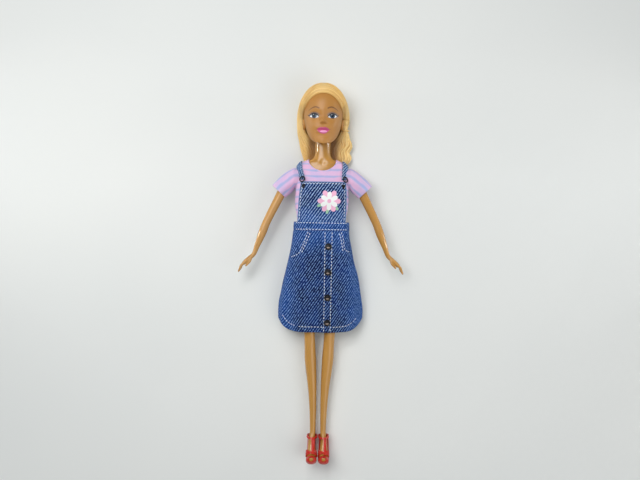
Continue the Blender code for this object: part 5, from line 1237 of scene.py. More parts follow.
EYE_WIDTH = 0.0072
BROW_TABLE = ((0, 0.0030, 0.0263), (0.18, 0.0046, 0.0271), (0.38, 0.0062, 0.02745), (0.68, 0.0086, 0.0267),
              (1, 0.0112, 0.0250))
IRIS_X = -0.0001
IRIS_RISE = 0.0005
for side_name, side in SIDES:
    eye_x = side * EYE_X

    def lid(share, upper):
        """The edge of the eye opening, from its inner corner (0) to its outer corner (1)."""
        x = (share - 0.5) * EYE_WIDTH
        arch = max(math.sin(math.pi * share ** (0.90 if upper else 1.08)), 0) ** 0.95
        y = (0.00215 if upper else -0.00150) * arch + 0.0010 * (share - 0.45)
        return x, y

    def almond(angle, size):
        share = 0.5 + 0.5 * math.cos(angle)
        x, y = lid(share, math.sin(angle) >= 0)
        x, y = x * size, 0.0002 + (y - 0.0002) * size
        return eye_x + side * x, EYE_Y + y

    paint("eye_white_" + side_name, "eye_white", almond, 2)

    def disc(x, y, radius):
        """A disc cut off by the lids."""
        def outline(angle, size):
            a = math.cos(angle) * radius * size
            b = math.sin(angle) * radius * size
            share = clamp((x + a) / EYE_WIDTH + 0.5)
            b = min(b + y, lid(share, True)[1])
            return eye_x + side * (x + a), EYE_Y + max(b, lid(share, False)[1])
        return outline

    for name, look, radius, *sizes in (("iris_rim_", "pupil", 0.00190, 3, 4, 36),
                                       ("iris_", "iris", 0.00162, 4, 4, 36),
                                       ("pupil_", "pupil", 0.00092, 5, 3, 28)):
        paint(name + side_name, look, disc(IRIS_X, IRIS_RISE, radius), *sizes)
    # Painted highlight: a white dot on each iris standing in for the catchlight.
    light = disc(-side * 0.0005 + IRIS_X, IRIS_RISE + 0.0008, 0.00032)
    paint("eye_painted_highlight_" + side_name, "eye_white", light, 6, 2, 20)

    def upper_lash(share):
        reach = share * 1.16
        x, y = lid(min(reach, 1), True)
        extra = max(reach - 1, 0)
        return eye_x + side * (x + extra * EYE_WIDTH), EYE_Y + y + extra * 0.0052

    def lower_lash(share):
        x, y = lid(0.12 + 0.88 * share, False)
        return eye_x + side * x, EYE_Y + y

    paint_line("upper_lash_" + side_name, "lash", upper_lash,
               lambda share: 0.00028 + 0.00082 * max(math.sin(math.pi * share ** 0.8), 0) ** 0.9, 8)
    paint_line("lower_lash_" + side_name, "brow", lower_lash, swelling(0.00008, 0.00016), 7)

    def lid_fold(share):
        x, y = lid(share, True)
        return eye_x + side * x * 1.12, EYE_Y + y + 0.0011

    paint_line("lid_fold_" + side_name, "brow", lid_fold, swelling(0.00005, 0.00016), 2)

    def brow(share):
        x, y = read(BROW_TABLE, share)
        return side * x, CHIN_Y + y

    def brow_width(share):
        return 0.00012 + 0.00098 * max(math.sin(math.pi * (0.06 + 0.9 * share) ** 0.6), 0) ** 0.8

    paint_line("brow_" + side_name, "brow", brow, brow_width, 1, 50)

MOUTH_Y = CHIN_Y + 0.0102
LIPS_HALF_WIDTH = 0.0061
LIPS_FULL = 0.0045


def mouth_line(x):
    return MOUTH_Y + 0.0003 + 9 * x * x


def lips(name, look, upper):
    def point(u, v):
        x = LIPS_HALF_WIDTH * (2 * u - 1)
        edge = 0.00016 * (1 - (2 * u - 1) ** 4) + 0.0019 * max(1 - (x / LIPS_FULL) ** 2, 0) ** 0.75
        edge *= 1 - 0.18 * bump(x, 0.0009) if upper else -1.45
        y = mouth_line(x) + edge * v
        return face_place(x, y) + facing(face_place, x, y) * 0.00006
    piece(name, face_up(cloth(72, 16, point)), look, "head_body")


lips("upper_lip", "lip_upper", True)
lips("lower_lip", "lip", False)


def oval_outline(x, y, wide, high):
    return lambda angle, size: (x + math.cos(angle) * wide * size, y + math.sin(angle) * high * size)


# Painted highlight: a pale pink oval on the lower lip standing in for its gloss.
paint("lower_lip_painted_highlight", "lip_painted_highlight", oval_outline(0.0002, MOUTH_Y - 0.0011, 0.0027, 0.00080), 5, 10, 56)
paint_line("mouth", "lip_line",
           lambda share: (LIPS_HALF_WIDTH * (2 * share - 1), mouth_line(LIPS_HALF_WIDTH * (2 * share - 1))),
           swelling(0.00006, 0.00022), 6, 60)


# Hair: each side is combed from a peak over the brow, round the head and down.
HAIR_EYE_Y = CHIN_Y + 0.01985
LINE_HALF_WIDTH = 0.0149
LINE_RISE = 0.0184
MASS_HALF_WIDTH = 0.0198
MASS_RISE = 0.0276
MASS_SIDE = (
    (HAIR_EYE_Y, 0.0090), (HAIR_EYE_Y + 0.0041, 0.01165), (HAIR_EYE_Y + 0.0101, 0.0145),
    (HAIR_EYE_Y + 0.0160, 0.0164), (HAIR_EYE_Y + 0.0214, 0.0180), (HAIR_TOP_Y, 0.0195),
)
# Down the side: distance below eye level and inner x, then inner z and outer x and z of either side.
FALLS = {
    side: tuple((*row[:2], *row[first:first + 3]) for row in (
        (0.0000, 0.0149, 0.0155, 0.0198, 0.0090, 0.0120, 0.0198, 0.0086),
        (0.0056, 0.0143, 0.0118, 0.0186, 0.0076, 0.0110, 0.0196, 0.0078),
        (0.0106, 0.0125, 0.0095, 0.0176, 0.0062, 0.0098, 0.0192, 0.0066),
        (0.0141, 0.0090, 0.0080, 0.0168, 0.0052, 0.0083, 0.0184, 0.0055),
        (0.0176, 0.0050, 0.0074, 0.0164, 0.0044, 0.0074, 0.0178, 0.0047),
        (0.0216, 0.0015, 0.0070, 0.0162, 0.0038, 0.0070, 0.0170, 0.0042),
        (0.0266, 0.0010, 0.0060, 0.0158, 0.0034, 0.0060, 0.0156, 0.0038),
        (0.0326, 0.0005, 0.0050, 0.0148, 0.0030, 0.0050, 0.0138, 0.0030)))
    for side, first in ((1, 2), (-1, 5))
}
UPPER_SHARE = 0.56
ROLL_WIDTH = 0.46
FALL_LENGTH = 0.0312


def hair_point(side, width, flow):
    """A point of the hair: width 0 is the hairline, 1 the outline seen from above, 2 the back's middle."""
    front = min(width, 1)
    behind = max(width - 1, 0)
    swell = math.sin(front * QUARTER) ** 0.8
    sink = math.cos(front * QUARTER) ** 0.8
    tuck = behind * QUARTER
    roll = math.sin(math.pi * (width / ROLL_WIDTH)) ** 0.9 if width < ROLL_WIDTH else 0
    if flow <= UPPER_SHARE:
        sweep = QUARTER * flow / UPPER_SHARE
        a = LINE_HALF_WIDTH + (MASS_HALF_WIDTH - LINE_HALF_WIDTH) * swell
        b = LINE_RISE + (MASS_RISE - LINE_RISE) * swell
        b *= math.cos(tuck * 0.75)
        a *= math.cos(tuck)
        x = a * math.sin(sweep)
        y = HAIR_EYE_Y + b * math.cos(sweep)
        line_x = LINE_HALF_WIDTH * math.sin(sweep)
        line_y = HAIR_EYE_Y + LINE_RISE * math.cos(sweep)
        half_width = read(HEAD_TABLE, line_y)[0]
        line_z = face_place(min(line_x, half_width * 0.985), line_y).z + 0.0003
        down = ease((sweep - math.radians(62)) / math.radians(28))
        line_z += (FALLS[-1][0][2] - line_z) * down
        side_z = read(MASS_SIDE, HAIR_EYE_Y + MASS_RISE * math.cos(sweep))[0]
        z = side_z + (line_z - side_z) * sink
        z += 0.0013 * roll * (1 - 0.6 * down)
        x += 0.0004 * roll * math.sin(sweep)
    else:
        drop = (flow - UPPER_SHARE) / (1 - UPPER_SHARE)
        ragged = 0.0030 * ripple(width * 9, side * 3.0) + 0.0012 * ripple(width * 37, side * 5.0)
        length = FALL_LENGTH + ragged * ease(drop)
        run = length * drop
        in_x, in_z, out_x, out_z = read(FALLS[side], run)
        x = (in_x + (out_x - in_x) * swell) * math.cos(tuck)
        y = HAIR_EYE_Y - run
        z = out_z + (in_z - out_z) * sink
        side_z = out_z
        z += 0.0013 * roll * 0.4 * (1 - ease(drop * 1.6))
        x += 0.0004 * roll * (1 - ease(drop * 1.6))
    if behind:
        z = side_z * (1 - math.sin(tuck)) + 0.0003 * (1 - math.cos(tuck))
    return mirror(side, (x, y, max(z, 0.0003)))


def hair_relief(side):
    def relief(u, v):
        width = 2 * u
        calm = ease(v / 0.05) * ease((1 - v) / 0.05 + 0.25) * ease(width / 0.06)
        wave = 0.50 * ripple(width * 15 + side * 9, v * 1.6) + 0.50 * ripple(width * 44, v * 2.6, side * 4.0)
        return 0.00056 * wave * calm
    return relief


build = merge([cloth(220, 92, lambda u, v: hair_point(side, 2 * u, v), relief=hair_relief(side),
                     core=HEAD_CORE) for side in (-1, 1)])
hair_pass = ("head_body", "torso", (0, CHIN_Y + 0.0085, BODY_MID_Z), (0, NECK_Y - 0.0005, BODY_MID_Z))
piece("hair_combed", weld(build, 0.00001), "hair", hair_pass,
      ("hair_cap", "hair_roll_left", "hair_roll_right", "hair_fall", "hair_lock_right"), 0.0004)

# Single strands lying on the combed hair.
parts = []
STEPS = 45
for index in range(84):
    side = -1 if index % 2 else 1
    width = 0.05 + 0.95 * ((index * 0.618) % 1)
    start = 0.03 + 0.30 * ((index * 0.377) % 1)
    end = min(start + 0.45 + 0.5 * ((index * 0.291) % 1), 0.985)
    points = []
    for step in range(STEPS + 1):
        flow = start + (end - start) * step / STEPS
        drift = 0.045 * ripple(flow * 3 + index, index * 0.37)
        place = clamp(width + drift, 0.02)
        ahead = hair_point(side, place, min(flow + 0.004, 1)) - hair_point(side, place, flow - 0.004)
        beside = hair_point(side, place + 0.01, flow) - hair_point(side, place - 0.01, flow)
        out = ahead.cross(beside).normalized()
        spot = hair_point(side, place, flow)
        if out.dot(Vector((spot.x, 0, spot.z - 0.006))) < 0:
            out = -out
        points.append(spot + out * (0.00022 + 0.00022 * math.sin(math.pi * step / STEPS)))
    thick = 0.00011 + 0.00011 * ((index * 0.733) % 1)
    radii = [thick * (0.25 + 0.75 * ease(min(step, STEPS - step) / 8)) for step in range(STEPS + 1)]
    parts.append(tube(points, radii, 6))
piece("hair_strands", merge(parts), "hair_pale", hair_pass)


# The lock over the left shoulder: waved strands gathered by a small tie.
LOCK_X = LEFT_LOCK_X + TIE_RADIUS / 2
LOCK_Y = CHIN_Y + LEFT_LOCK_ABOVE_CHIN
LOCK_TABLE = (
    (0.0, LOCK_X, LOCK_Y + 0.0012, LEFT_LOCK_TOP_Z, 0.0021, 0.0019),
    (0.09, LOCK_X, LOCK_Y - LEFT_LOCK_LENGTH * 0.09, LEFT_LOCK_TOP_Z * 0.96, 0.0016, 0.0015),
    *((share, LEFT_LOCK_X + aside, LOCK_Y - LEFT_LOCK_LENGTH * share, z, LEFT_LOCK_HALF_WIDTH * wide,
       LOCK_HALF_DEPTH * deep)
      for share, aside, z, wide, deep in (
          (0.3, 0.0014, LOCK_Z, 0.86, 1), (0.62, 0.0010, LOCK_Z * 0.55, 1.08, 1),
          (0.85, 0.0006, LOCK_END_Z * 1.2, 0.9, 0.8), (1.0, -0.0006, LOCK_END_Z, 0.5, 0.5))),
)
parts = []
STRANDS = 26
for index in range(STRANDS):
    turn = index * 2.39996
    spot = math.sqrt((index + 0.5) / STRANDS)
    points = []
    radii = []
    reach = 1.0 - 0.14 * ((index * 7) % 5) / 5
    for step in range(34):
        share = reach * step / 33
        x, y, z, half_width, half_depth = read(LOCK_TABLE, share)
        swing = 0.0011 * ease((share - 0.12) / 0.3) * math.sin(share * 17 + 0.6 * math.sin(turn * 3) + 0.4)
        twist = turn + 1.2 * share
        points.append(Vector((x + swing + math.cos(twist) * half_width * spot * 0.86, y,
                              max(z + math.sin(twist) * half_depth * spot * 0.86, 0.0009))))
        radii.append(0.00085 * (0.35 + 0.65 * ease(share / 0.25))
                     * (1 - 0.75 * ease((share / reach - 0.72) / 0.28)))
    parts.append(tube(points, radii))
piece("hair_lock", merge(parts), "hair_pale", hair_pass, ("hair_lock_left",))
tie_x, tie_y, tie_z, tie_half, tie_depth = read(LOCK_TABLE, 0.09)
ring = [Vector((tie_x + math.cos(TURN * index / 36) * (tie_half + 0.0008), tie_y,
                tie_z + math.sin(TURN * index / 36) * (tie_depth + 0.0008))) for index in range(36)]
piece("hair_band", tube(ring, [0.00065] * 36, 10, True), "hair", "head_body", ("hair_tie",))


# T-shirt: its own form with a neckline cut by a tilted oval, and two short sleeves.
def shirt_section(place):
    half_width, front, back = read(TORSO_TABLE, place)
    share = clamp((SHOULDER_Y - place) / BUST_TO_SHOULDER, 0, 2)
    return half_width + SHIRT_EASE + SHIRT_SIDE_EASE * share, front + SHIRT_EASE, back + SHIRT_EASE


def shirt_square(place):
    return SQUARE + (SHIRT_SQUARE - SQUARE) * bump(place - SHOULDER_Y, BUST_TO_SHOULDER)


def shirt_point(angle, place, out):
    half_width, front, back = shirt_section(place)
    x, z = oval(angle, half_width + out, front + out, back + out, shirt_square(place))
    return Vector((x, place, BODY_MID_Z + z))


def past_slit(slit, u):
    """An angle round the body, from one edge of a slit down its back to the other."""
    return -QUARTER + slit + (TURN - 2 * slit) * u


SHIRT_LOW = WAIST_Y + SHIRT_BOTTOM_ABOVE_WAIST
NECKLINE_Y = SHOULDER_Y + NECKLINE_ABOVE_SHOULDER + NECKLINE_LENGTH / 2
NECKLINE_SLACK = 0.0018


def relay(thing, rule):
    """Lay the surface map of a piece anew: rule(place, u, v) gives its two lengths."""
    mesh = thing.data
    layer = mesh.uv_layers["surface"].data
    for loop in mesh.loops:
        u, v = layer[loop.index].uv
        layer[loop.index].uv = rule(mesh.vertices[loop.vertex_index].co, u, v)


def in_neckline(point):
    along = point.y - NECKLINE_Y + NECKLINE_SLACK
    up = point.z - BODY_MID_Z - BUST_DEPTH / 2
    across = along * math.cos(NECKLINE_TILT) - up * math.sin(NECKLINE_TILT)
    return (point.x / NECKLINE_HALF_WIDTH) ** 2 + (across / (NECKLINE_LENGTH / 2)) ** 2 < 1


def shirt_top(angle):
    """How high the T-shirt reaches at an angle round the body."""
    place = SHOULDER_Y + NECKLINE_ABOVE_SHOULDER * 0.4
    while place < NECK_Y and not in_neckline(shirt_point(angle, place, SHIRT_WALL)):
        place += 0.0002
    return min(place, NECK_Y)


def shirt_angle(u):
    return past_slit(slit, u)


def shirt_grid(u, v):
    place = SHIRT_LOW + (shirt_tops[round(u * ROUND_SHIRT)] - SHIRT_LOW) * v
    return shirt_point(shirt_angle(u), place, SHIRT_WALL)


def shirt_folds(u, v):
    angle = TURN * u
    calm = ease(v / 0.04) * ease((1 - v) / 0.06)
    side = abs(math.sin(angle))
    return calm * (0.00022 * ripple(u * 9, v * 3.5) + 0.00030 * side * ripple(u * 16 + 5, v * 7))


slit = SHIRT_OPENING / 2 / CHEST_HALF_WIDTH
ROUND_SHIRT = 120
shirt_tops = [shirt_top(shirt_angle(index / ROUND_SHIRT)) for index in range(ROUND_SHIRT + 1)]
shirt = piece("shirt", cloth(ROUND_SHIRT, 80, shirt_grid, origin=0.5, signs=(-1, 1), core=BODY_CORE,
                             relief=shirt_folds),
              "jersey", "torso", ("shirt_body",), SHIRT_WALL)
relay(shirt, lambda place, u, v: (u, place.y))

# A turned rib round the neckline.
rim = [shirt_point(shirt_angle(index / ROUND_SHIRT), top - 0.0003, SHIRT_WALL * 0.55)
       for index, top in enumerate(shirt_tops)]
piece("shirt_collar_rib", tube(rim, [0.00042] * len(rim)), "jersey", "torso")

SLEEVE_SEAM_X = CHEST_HALF_WIDTH + SHIRT_EASE + SHIRT_WALL + SHIRT_SIDE_EASE * 0.6 + GAP
ROOT_SHARE = 0.14
sleeves = []
for side_name, side in SIDES:
    seam = Vector((SLEEVE_SEAM_X + SLEEVE_LEAD, SHOULDER_Y, BODY_MID_Z))
    hem = seam + Vector((SLEEVE_REACH, -SLEEVE_DROP, 0))
    root = Vector((SHOULDER_SEAT_X - SHIRT_WALL, SHOULDER_Y, BODY_MID_Z))

    def sleeve_grid(u, v):
        angle = TURN * u
        share = max((v - ROOT_SHARE) / 0.86, 0)
        slant = QUARTER + (SLEEVE_SLANT - QUARTER) * share ** 0.7
        direction = Vector((math.sin(slant), -math.cos(slant), 0))
        across = Vector((-direction.y, direction.x, 0))
        sag = math.sin(math.pi * share) * SLEEVE_DROP * 0.06
        centre = seam.lerp(hem, share) + Vector((0, sag, 0))
        wide = SLEEVE_SEAM_RADIUS + (SLEEVE_HEM_HALF_WIDTH - SLEEVE_SEAM_RADIUS) * share
        deep = SLEEVE_SEAM_RADIUS + (SLEEVE_HEM_HALF_DEPTH - SLEEVE_SEAM_RADIUS) * share
        if v < ROOT_SHARE:
            centre = root.lerp(seam, v / ROOT_SHARE)
            wide = deep = SLEEVE_SEAM_RADIUS * (0.90 + 0.10 * v / ROOT_SHARE)
        flute = (0.00035 * ease(share) * math.sin(5 * angle + 0.7 * side)
                 + 0.0003 * share * ripple(u * 8, side * 2))
        a, b = oval(angle, wide + flute, deep + flute, deep + flute, ROUND)
        x, y, z = centre + across * a
        return mirror(side, (x, y, z + b))

    def sleeve_folds(u, v):
        calm = ease(v / 0.2) * ease((1 - v) / 0.08 + 0.3)
        return 0.0004 * calm * ripple(math.cos(TURN * u) * 2.4 + side * 3, math.sin(TURN * u) * 2.4, v * 3)

    build = face_out(cloth(56, 36, sleeve_grid, True, origin=0.25, relief=sleeve_folds))
    start = (side * (SHOULDER_SEAT_X + 0.0002), SHOULDER_Y, BODY_MID_Z)
    end = (side * (SHOULDER_SEAT_X + 0.0062), SHOULDER_Y, BODY_MID_Z)
    sleeves.append(piece("sleeve_cloth_" + side_name, build, "jersey",
                         ("torso", "arm_body_" + side_name, start, end), ("sleeve_" + side_name,),
                         SHIRT_WALL))
    relay(sleeves[-1], lambda place, u, v: (v, u * 0.8))


# Dress: bib and back panels over the T-shirt.
OVER_SHIRT = SHIRT_WALL + GAP


def on_shirt(x, place, out, front=True):
    half_width, fore, back = shirt_section(place)
    half_width += out
    share = min(abs(x) / half_width, 1)
    square = shirt_square(place)
    lift = (1 - share ** square) ** (1 / square)
    depth = (fore + out) * lift if front else -(back + out) * lift
    return Vector((x, place, BODY_MID_Z + depth))


WAISTBAND_HIGH = WAIST_Y - WAISTBAND_UNDER_WAIST + WAISTBAND
BIB_LOW = WAISTBAND_HIGH + GAP
BIB_HIGH = BIB_LOW + BIB_LENGTH
BACK_HIGH = BIB_LOW + BACK_PANEL_LENGTH
BIB_OUT = OVER_SHIRT + GAP / 2 + CLOTH
BIB_LEAN = 0.0010


def bib_half_width(share):
    return BIB_HALF_WIDTH + (BIB_TOP_HALF_WIDTH - BIB_HALF_WIDTH) * share ** 3


def bib_fold(x, place):
    share = (place - BIB_LOW) / BIB_LENGTH
    calm = ease(share / 0.1) * ease((1 - share) / 0.1)
    return calm * (0.00025 + 0.0003 * ripple(x * 90, place * 60, 2.0))


def bib_place(x, place):
    x += BIB_LEAN * (place - BIB_LOW) / BIB_LENGTH
    return on_shirt(x, place, BIB_OUT + bib_fold(x, place))


BIB_UNDER_BAND = 0.0014


def bib_grid(u, v):
    return bib_place(bib_half_width(v) * (2 * u - 1),
                     BIB_LOW - BIB_UNDER_BAND + (BIB_LENGTH + BIB_UNDER_BAND) * v)


bib = piece("bib_cloth", cloth(60, 60, bib_grid, origin=0.5, core=BODY_CORE),
            "bib_denim", "torso", ("bib",), CLOTH)
for side_name, side in SIDES:
    def back_grid(u, v):
        place = BIB_LOW + BACK_PANEL_LENGTH * v
        wide = BACK_PANEL_HALF_WIDTH * (1 - 0.25 * v)
        x = BACK_OPENING / 2 + (wide - BACK_OPENING / 2) * u
        return on_shirt(side * x, place, OVER_SHIRT + CLOTH, False)
    build = cloth(24, 26, back_grid, core=BODY_CORE)
    piece("back_panel_" + side_name, build, "denim", "torso", ("dress_back_" + side_name,),
                       CLOTH)

BAND_TABLE = (
    (0, WAISTBAND_HALF_WIDTH, WAISTBAND_FRONT_Z, WAISTBAND_BACK_Z),
    (1, SKIRT_TOP_HALF_WIDTH, SKIRT_FRONT_Z, WAISTBAND_BACK_Z * 0.6),
)


def band_point(angle, share, out=CLOTH):
    half_width, front_z, back_z = read(BAND_TABLE, share)
    puff = out + 0.0002 * math.sin(math.pi * share)
    x, z = oval(angle, half_width + puff, front_z - SKIRT_SEAM_Z + puff, SKIRT_SEAM_Z - back_z + puff)
    return Vector((x, WAISTBAND_HIGH - (WAISTBAND + GAP * 0.8) * share, SKIRT_SEAM_Z + z))


opening = BACK_OPENING / 2 / WAISTBAND_HALF_WIDTH
waistband = piece(
    "waistband_cloth",
    cloth(110, 12, lambda u, v: band_point(past_slit(opening, u), v), origin=0.5, signs=(-1, -1),
          core=SKIRT_CORE),
    "denim", "torso", ("waistband",), CLOTH)

# Skirt: two halves, with the same form where they meet.
SKIRT_HIGH = WAISTBAND_HIGH - WAISTBAND - GAP
FLARE = SKIRT_HEM_HALF_WIDTH - SKIRT_TOP_HALF_WIDTH
SKIRT_TABLE = (
    (0.0, SKIRT_TOP_HALF_WIDTH, SKIRT_FRONT_Z, WAISTBAND_BACK_Z * 0.6, SKIRT_SEAM_Z),
    (0.08, SKIRT_TOP_HALF_WIDTH + FLARE * 0.07, SKIRT_FRONT_Z, 0, SKIRT_SEAM_Z),
    *((share, SKIRT_TOP_HALF_WIDTH + FLARE * wide, front_z, -SKIRT_BACK_SAG, seam_z)
      for share, wide, front_z, seam_z in (
          (0.27, 0.30, SKIRT_FRONT_Z, SKIRT_SEAM_Z * 0.9),
          (0.46, 0.62, SKIRT_FRONT_Z * 0.97, SKIRT_SEAM_Z * 0.7),
          (0.71, 0.92, SKIRT_FRONT_Z * 0.86, SKIRT_SEAM_Z * 0.5),
          (0.88, 1.0, SKIRT_HEM_FRONT_Z * 1.07, SKIRT_HEM_SEAM_Z))),
    (1.0, SKIRT_HEM_HALF_WIDTH, SKIRT_HEM_FRONT_Z, -SKIRT_BACK_SAG, SKIRT_HEM_SEAM_Z),
)
FOLDS = 5


def skirt_point(share, angle, out):
    half_width, front_z, back_z, seam_z = read(SKIRT_TABLE, share)
    fold = FOLD_DEPTH * share * math.sin(FOLDS * 2 * angle)
    if math.sin(angle) > -0.2:
        fold += 0.0009 * ease(share * 1.4) * ripple(math.cos(angle) * 3.4, share * 1.9, 1.5)
        fold += 0.00035 * ripple(math.cos(angle) * 9, share * 6, 7.5)
    square = SKIRT_SQUARE + (ROUND - SKIRT_SQUARE) * share
    x, z = oval(angle, half_width + out + fold, front_z - seam_z + out + fold, seam_z - back_z + out, square)
    corner = HEM_CORNER_RISE * abs(x / half_width) ** 6 * share ** 3
    return Vector((x, SKIRT_HIGH - SKIRT_LENGTH * share + corner, max(seam_z + z, 0)))


def on_skirt(x, share, out=CLOTH):
    """The skirt's outer face at an x seen from the front and a share of its length."""
    half_width = read(SKIRT_TABLE, share)[0] + out
    square = SKIRT_SQUARE + (ROUND - SKIRT_SQUARE) * share
    angle = math.acos(min(abs(x) / half_width, 1) ** (square / 2))
    point = skirt_point(share, angle if x >= 0 else math.pi - angle, out)
    return Vector((x, point.y, point.z))


BEND = {side: ("torso", "leg_body_" + side_name, (0, HIP_Y + 0.006, BODY_MID_Z),
               (0, HIP_Y - 0.015, BODY_MID_Z)) for side_name, side in SIDES}
LINING_HIGH = (SKIRT_HIGH - CROTCH_Y + 0.0015) / SKIRT_LENGTH
for side_name, side in SIDES:
    def skirt_grid(u, v):
        angle = -QUARTER + math.pi * u
        if side < 0:
            angle = math.pi - angle
        point = skirt_point(v, angle, CLOTH)
        if u in (0, 1):
            point.x = 0
        return point

    build = cloth(70, 110, skirt_grid, origin=1.0, signs=(-side, -1), core=SKIRT_CORE)
    piece("skirt_half_" + side_name, build, "denim", BEND[side],
                         ("skirt_front", "skirt_back") if side > 0 else (), CLOTH)

    # A lining closes the half towards the other leg, out of sight.
    def lining_grid(u, v):
        share = LINING_HIGH + (0.985 - LINING_HIGH) * v
        point = skirt_point(share, -QUARTER, 0).lerp(skirt_point(share, QUARTER, 0), u)
        return Vector((side * 0.0002, point.y, point.z))

    piece("skirt_lining_" + side_name, cloth(8, 60, lining_grid), "lining", BEND[side])


# Placket down the front, with four round snaps.
def placket_edge(share):
    return PLACKET_HALF_WIDTH * (1 - 0.08 * share)


def placket_place(x, share):
    return on_skirt(x, share, CLOTH + GAP + PLACKET_WALL)


PLACKET_LENGTH = SKIRT_LENGTH - PLACKET_DROP - PLACKET_RISE
piece("placket_cloth",
      cloth(10, 100, lambda u, v: placket_place(PLACKET_X + placket_edge(v) * (2 * u - 1),
                                                (PLACKET_DROP + PLACKET_LENGTH * v) / SKIRT_LENGTH),
            core=SKIRT_CORE, origin=0.5, signs=(1, -1)),
      "denim", BEND[1], ("placket",), PLACKET_WALL)
for index in range(BUTTONS):
    share = (FIRST_BUTTON_DROP + BUTTON_PITCH * index) / SKIRT_LENGTH
    seat = placket_place(PLACKET_X, share)
    reach = BUTTON_RADIUS / SKIRT_LENGTH
    along = (placket_place(PLACKET_X, share - reach) - placket_place(PLACKET_X, share + reach)).normalized()
    over = placket_place(PLACKET_X + BUTTON_RADIUS, share) - placket_place(PLACKET_X - BUTTON_RADIUS, share)
    out = over.normalized().cross(along).normalized()
    seat += out * 0.0001
    cap = turned(((0, 0.00085), (0.0008, 0.00080), (0.0014, 0.00052), (0.0018, 0.00050), (0.0021, 0.00078),
                  (0.0024, 0.00092), (BUTTON_RADIUS, 0.0007), (BUTTON_RADIUS * 1.02, 0.0003),
                  (BUTTON_RADIUS, 0), (0, 0)), seat, out, 40)
    piece(f"snap_{index + 1}", cap, "black", BEND[1], (f"button_{index + 1}",), sharp=50)
    dish = ball(20, 12, seat + out * 0.00066 - along * 0.0007, (0.00115, 0.00062, 0.00028),
                UP.rotation_difference(out).to_matrix().to_4x4())
    piece(f"snap_dish_{index + 1}", dish, "snap_dish", BEND[1])

# Straps over the shoulders, ring buckles and the tabs under them.
def round_shoulder(x, angle):
    low = 0
    high = SHOULDER_TO_NECK * 3
    along = math.sin(angle)
    up = math.cos(angle)
    for _ in range(30):
        reach = (low + high) / 2
        place = SHOULDER_Y + along * reach
        half_width, fore, back = shirt_section(place)
        depth = fore if up >= 0 else back
        square = shirt_square(place)
        size = (abs(x) / half_width) ** square + (abs(up * reach) / depth) ** square
        if size < 1:
            low = reach
        else:
            high = reach
    return Vector((x, SHOULDER_Y + along * low, BODY_MID_Z + up * low))


def over_shoulder(x, angle, out):
    step = math.radians(4)
    place = round_shoulder(x, angle)
    along = round_shoulder(x, angle + step) - round_shoulder(x, angle - step)
    across = round_shoulder(x + STRAP_HALF_WIDTH, angle) - round_shoulder(x - STRAP_HALF_WIDTH, angle)
    return place + along.cross(across).normalized() * -out


STRAP_START = -math.atan((SHOULDER_Y - BIB_HIGH - GAP) / BUST_DEPTH)
STRAP_END = math.radians(180) + math.atan((SHOULDER_Y - BACK_HIGH - GAP * 3) / BACK_DEPTH)
STRAP_LINES = {
    side: ((0.0, STRAP_FRONT_X + low), (0.35, STRAP_TOP_X + high), (0.5, STRAP_TOP_X), (1.0, STRAP_BACK_X))
    for side, low, high in ((1, 0.0002, 0.0004), (-1, -0.0017, 0.0008))
}
for side_name, side in SIDES:
    def strap_grid(u, v):
        x = read(STRAP_LINES[side], v)[0] + STRAP_HALF_WIDTH * (2 * u - 1)
        angle = STRAP_START + (STRAP_END - STRAP_START) * v
        return mirror(side, over_shoulder(x, angle, OVER_SHIRT + GAP / 2 + STRAP_WALL))
    build = cloth(8, 70, strap_grid, origin=0.5, signs=(side, 1), core=BODY_CORE)
    piece("strap_cloth_" + side_name, build, "strap_denim", "torso", ("strap_" + side_name,), STRAP_WALL)
    for edge in (-0.74, 0.74):
        def strap_place(a, b):
            return strap_grid(0.5 + 0.5 * a, b)
        sew(f"strap_stitch_{side_name}_{'in' if edge < 0 else 'out'}", strap_place,
            [(edge, 0.02 + 0.96 * index / 60) for index in range(61)],
            pitch=0.0016, length=0.0011, half_width=0.00014, height=0.0001, step=0.004)
    ring_out = OVER_SHIRT + CLOTH + GAP * 2 + BUCKLE_WIRE
    ring_x = STRAP_LINES[side][0][1]
    ring_at = over_shoulder(ring_x, STRAP_START, ring_out)
    out = (ring_at - over_shoulder(ring_x, STRAP_START, 0)).normalized()
    ring_at.x *= side
    out.x *= side
    frame_out = UP.rotation_difference(out)
    ring = [ring_at + frame_out @ Vector((math.cos(TURN * index / 32), math.sin(TURN * index / 32), 0))
            * (BUCKLE_RADIUS + 0.0001) for index in range(32)]
    piece("ring_" + side_name, tube(ring, [BUCKLE_WIRE * 1.15] * 32, 10, True), "black", "torso",
          ("buckle_" + side_name,))
    tab_high = BIB_HIGH - BUCKLE_RADIUS - BUCKLE_WIRE * 0.2
    middle = side * (BIB_TOP_HALF_WIDTH - TAB_HALF_WIDTH * 1.15) + BIB_LEAN
    def tab_grid(u, v):
        wide = TAB_HALF_WIDTH * 1.1 * (1 - 0.85 * v ** 1.3)
        return on_shirt(middle + wide * (2 * u - 1), tab_high - TAB_LENGTH * 1.1 * v,
                        BIB_OUT + GAP + BUCKLE_WIRE)
    piece("tab_" + side_name, cloth(8, 12, tab_grid, core=BODY_CORE), "black", "torso",
          ("buckle_tab_" + side_name,), BUCKLE_WIRE)

for name, low, high, out in (
    ("dress_tape", BIB_LOW + GAP, BACK_HIGH - GAP, OVER_SHIRT + CLOTH + GAP + TAPE_WALL),
    ("shirt_tape", BACK_HIGH + GAP * 2, SHOULDER_Y, OVER_SHIRT + TAPE_WALL),
):
    def tape(u, v):
        return on_shirt(TAPE_HALF_WIDTH * (2 * u - 1), low + (high - low) * v, out, False)
    piece(name + "_cloth", cloth(10, 40, tape, core=BODY_CORE), "tape", "torso", (name,), TAPE_WALL)


# Thread: dashed lines of stitches on the dress, and the paler cut edges of the bib.
def hem_edge(name, points):
    piece(name, tube([bib_place(*point) for point in points], [0.00034] * len(points)), "cut_edge", "torso")


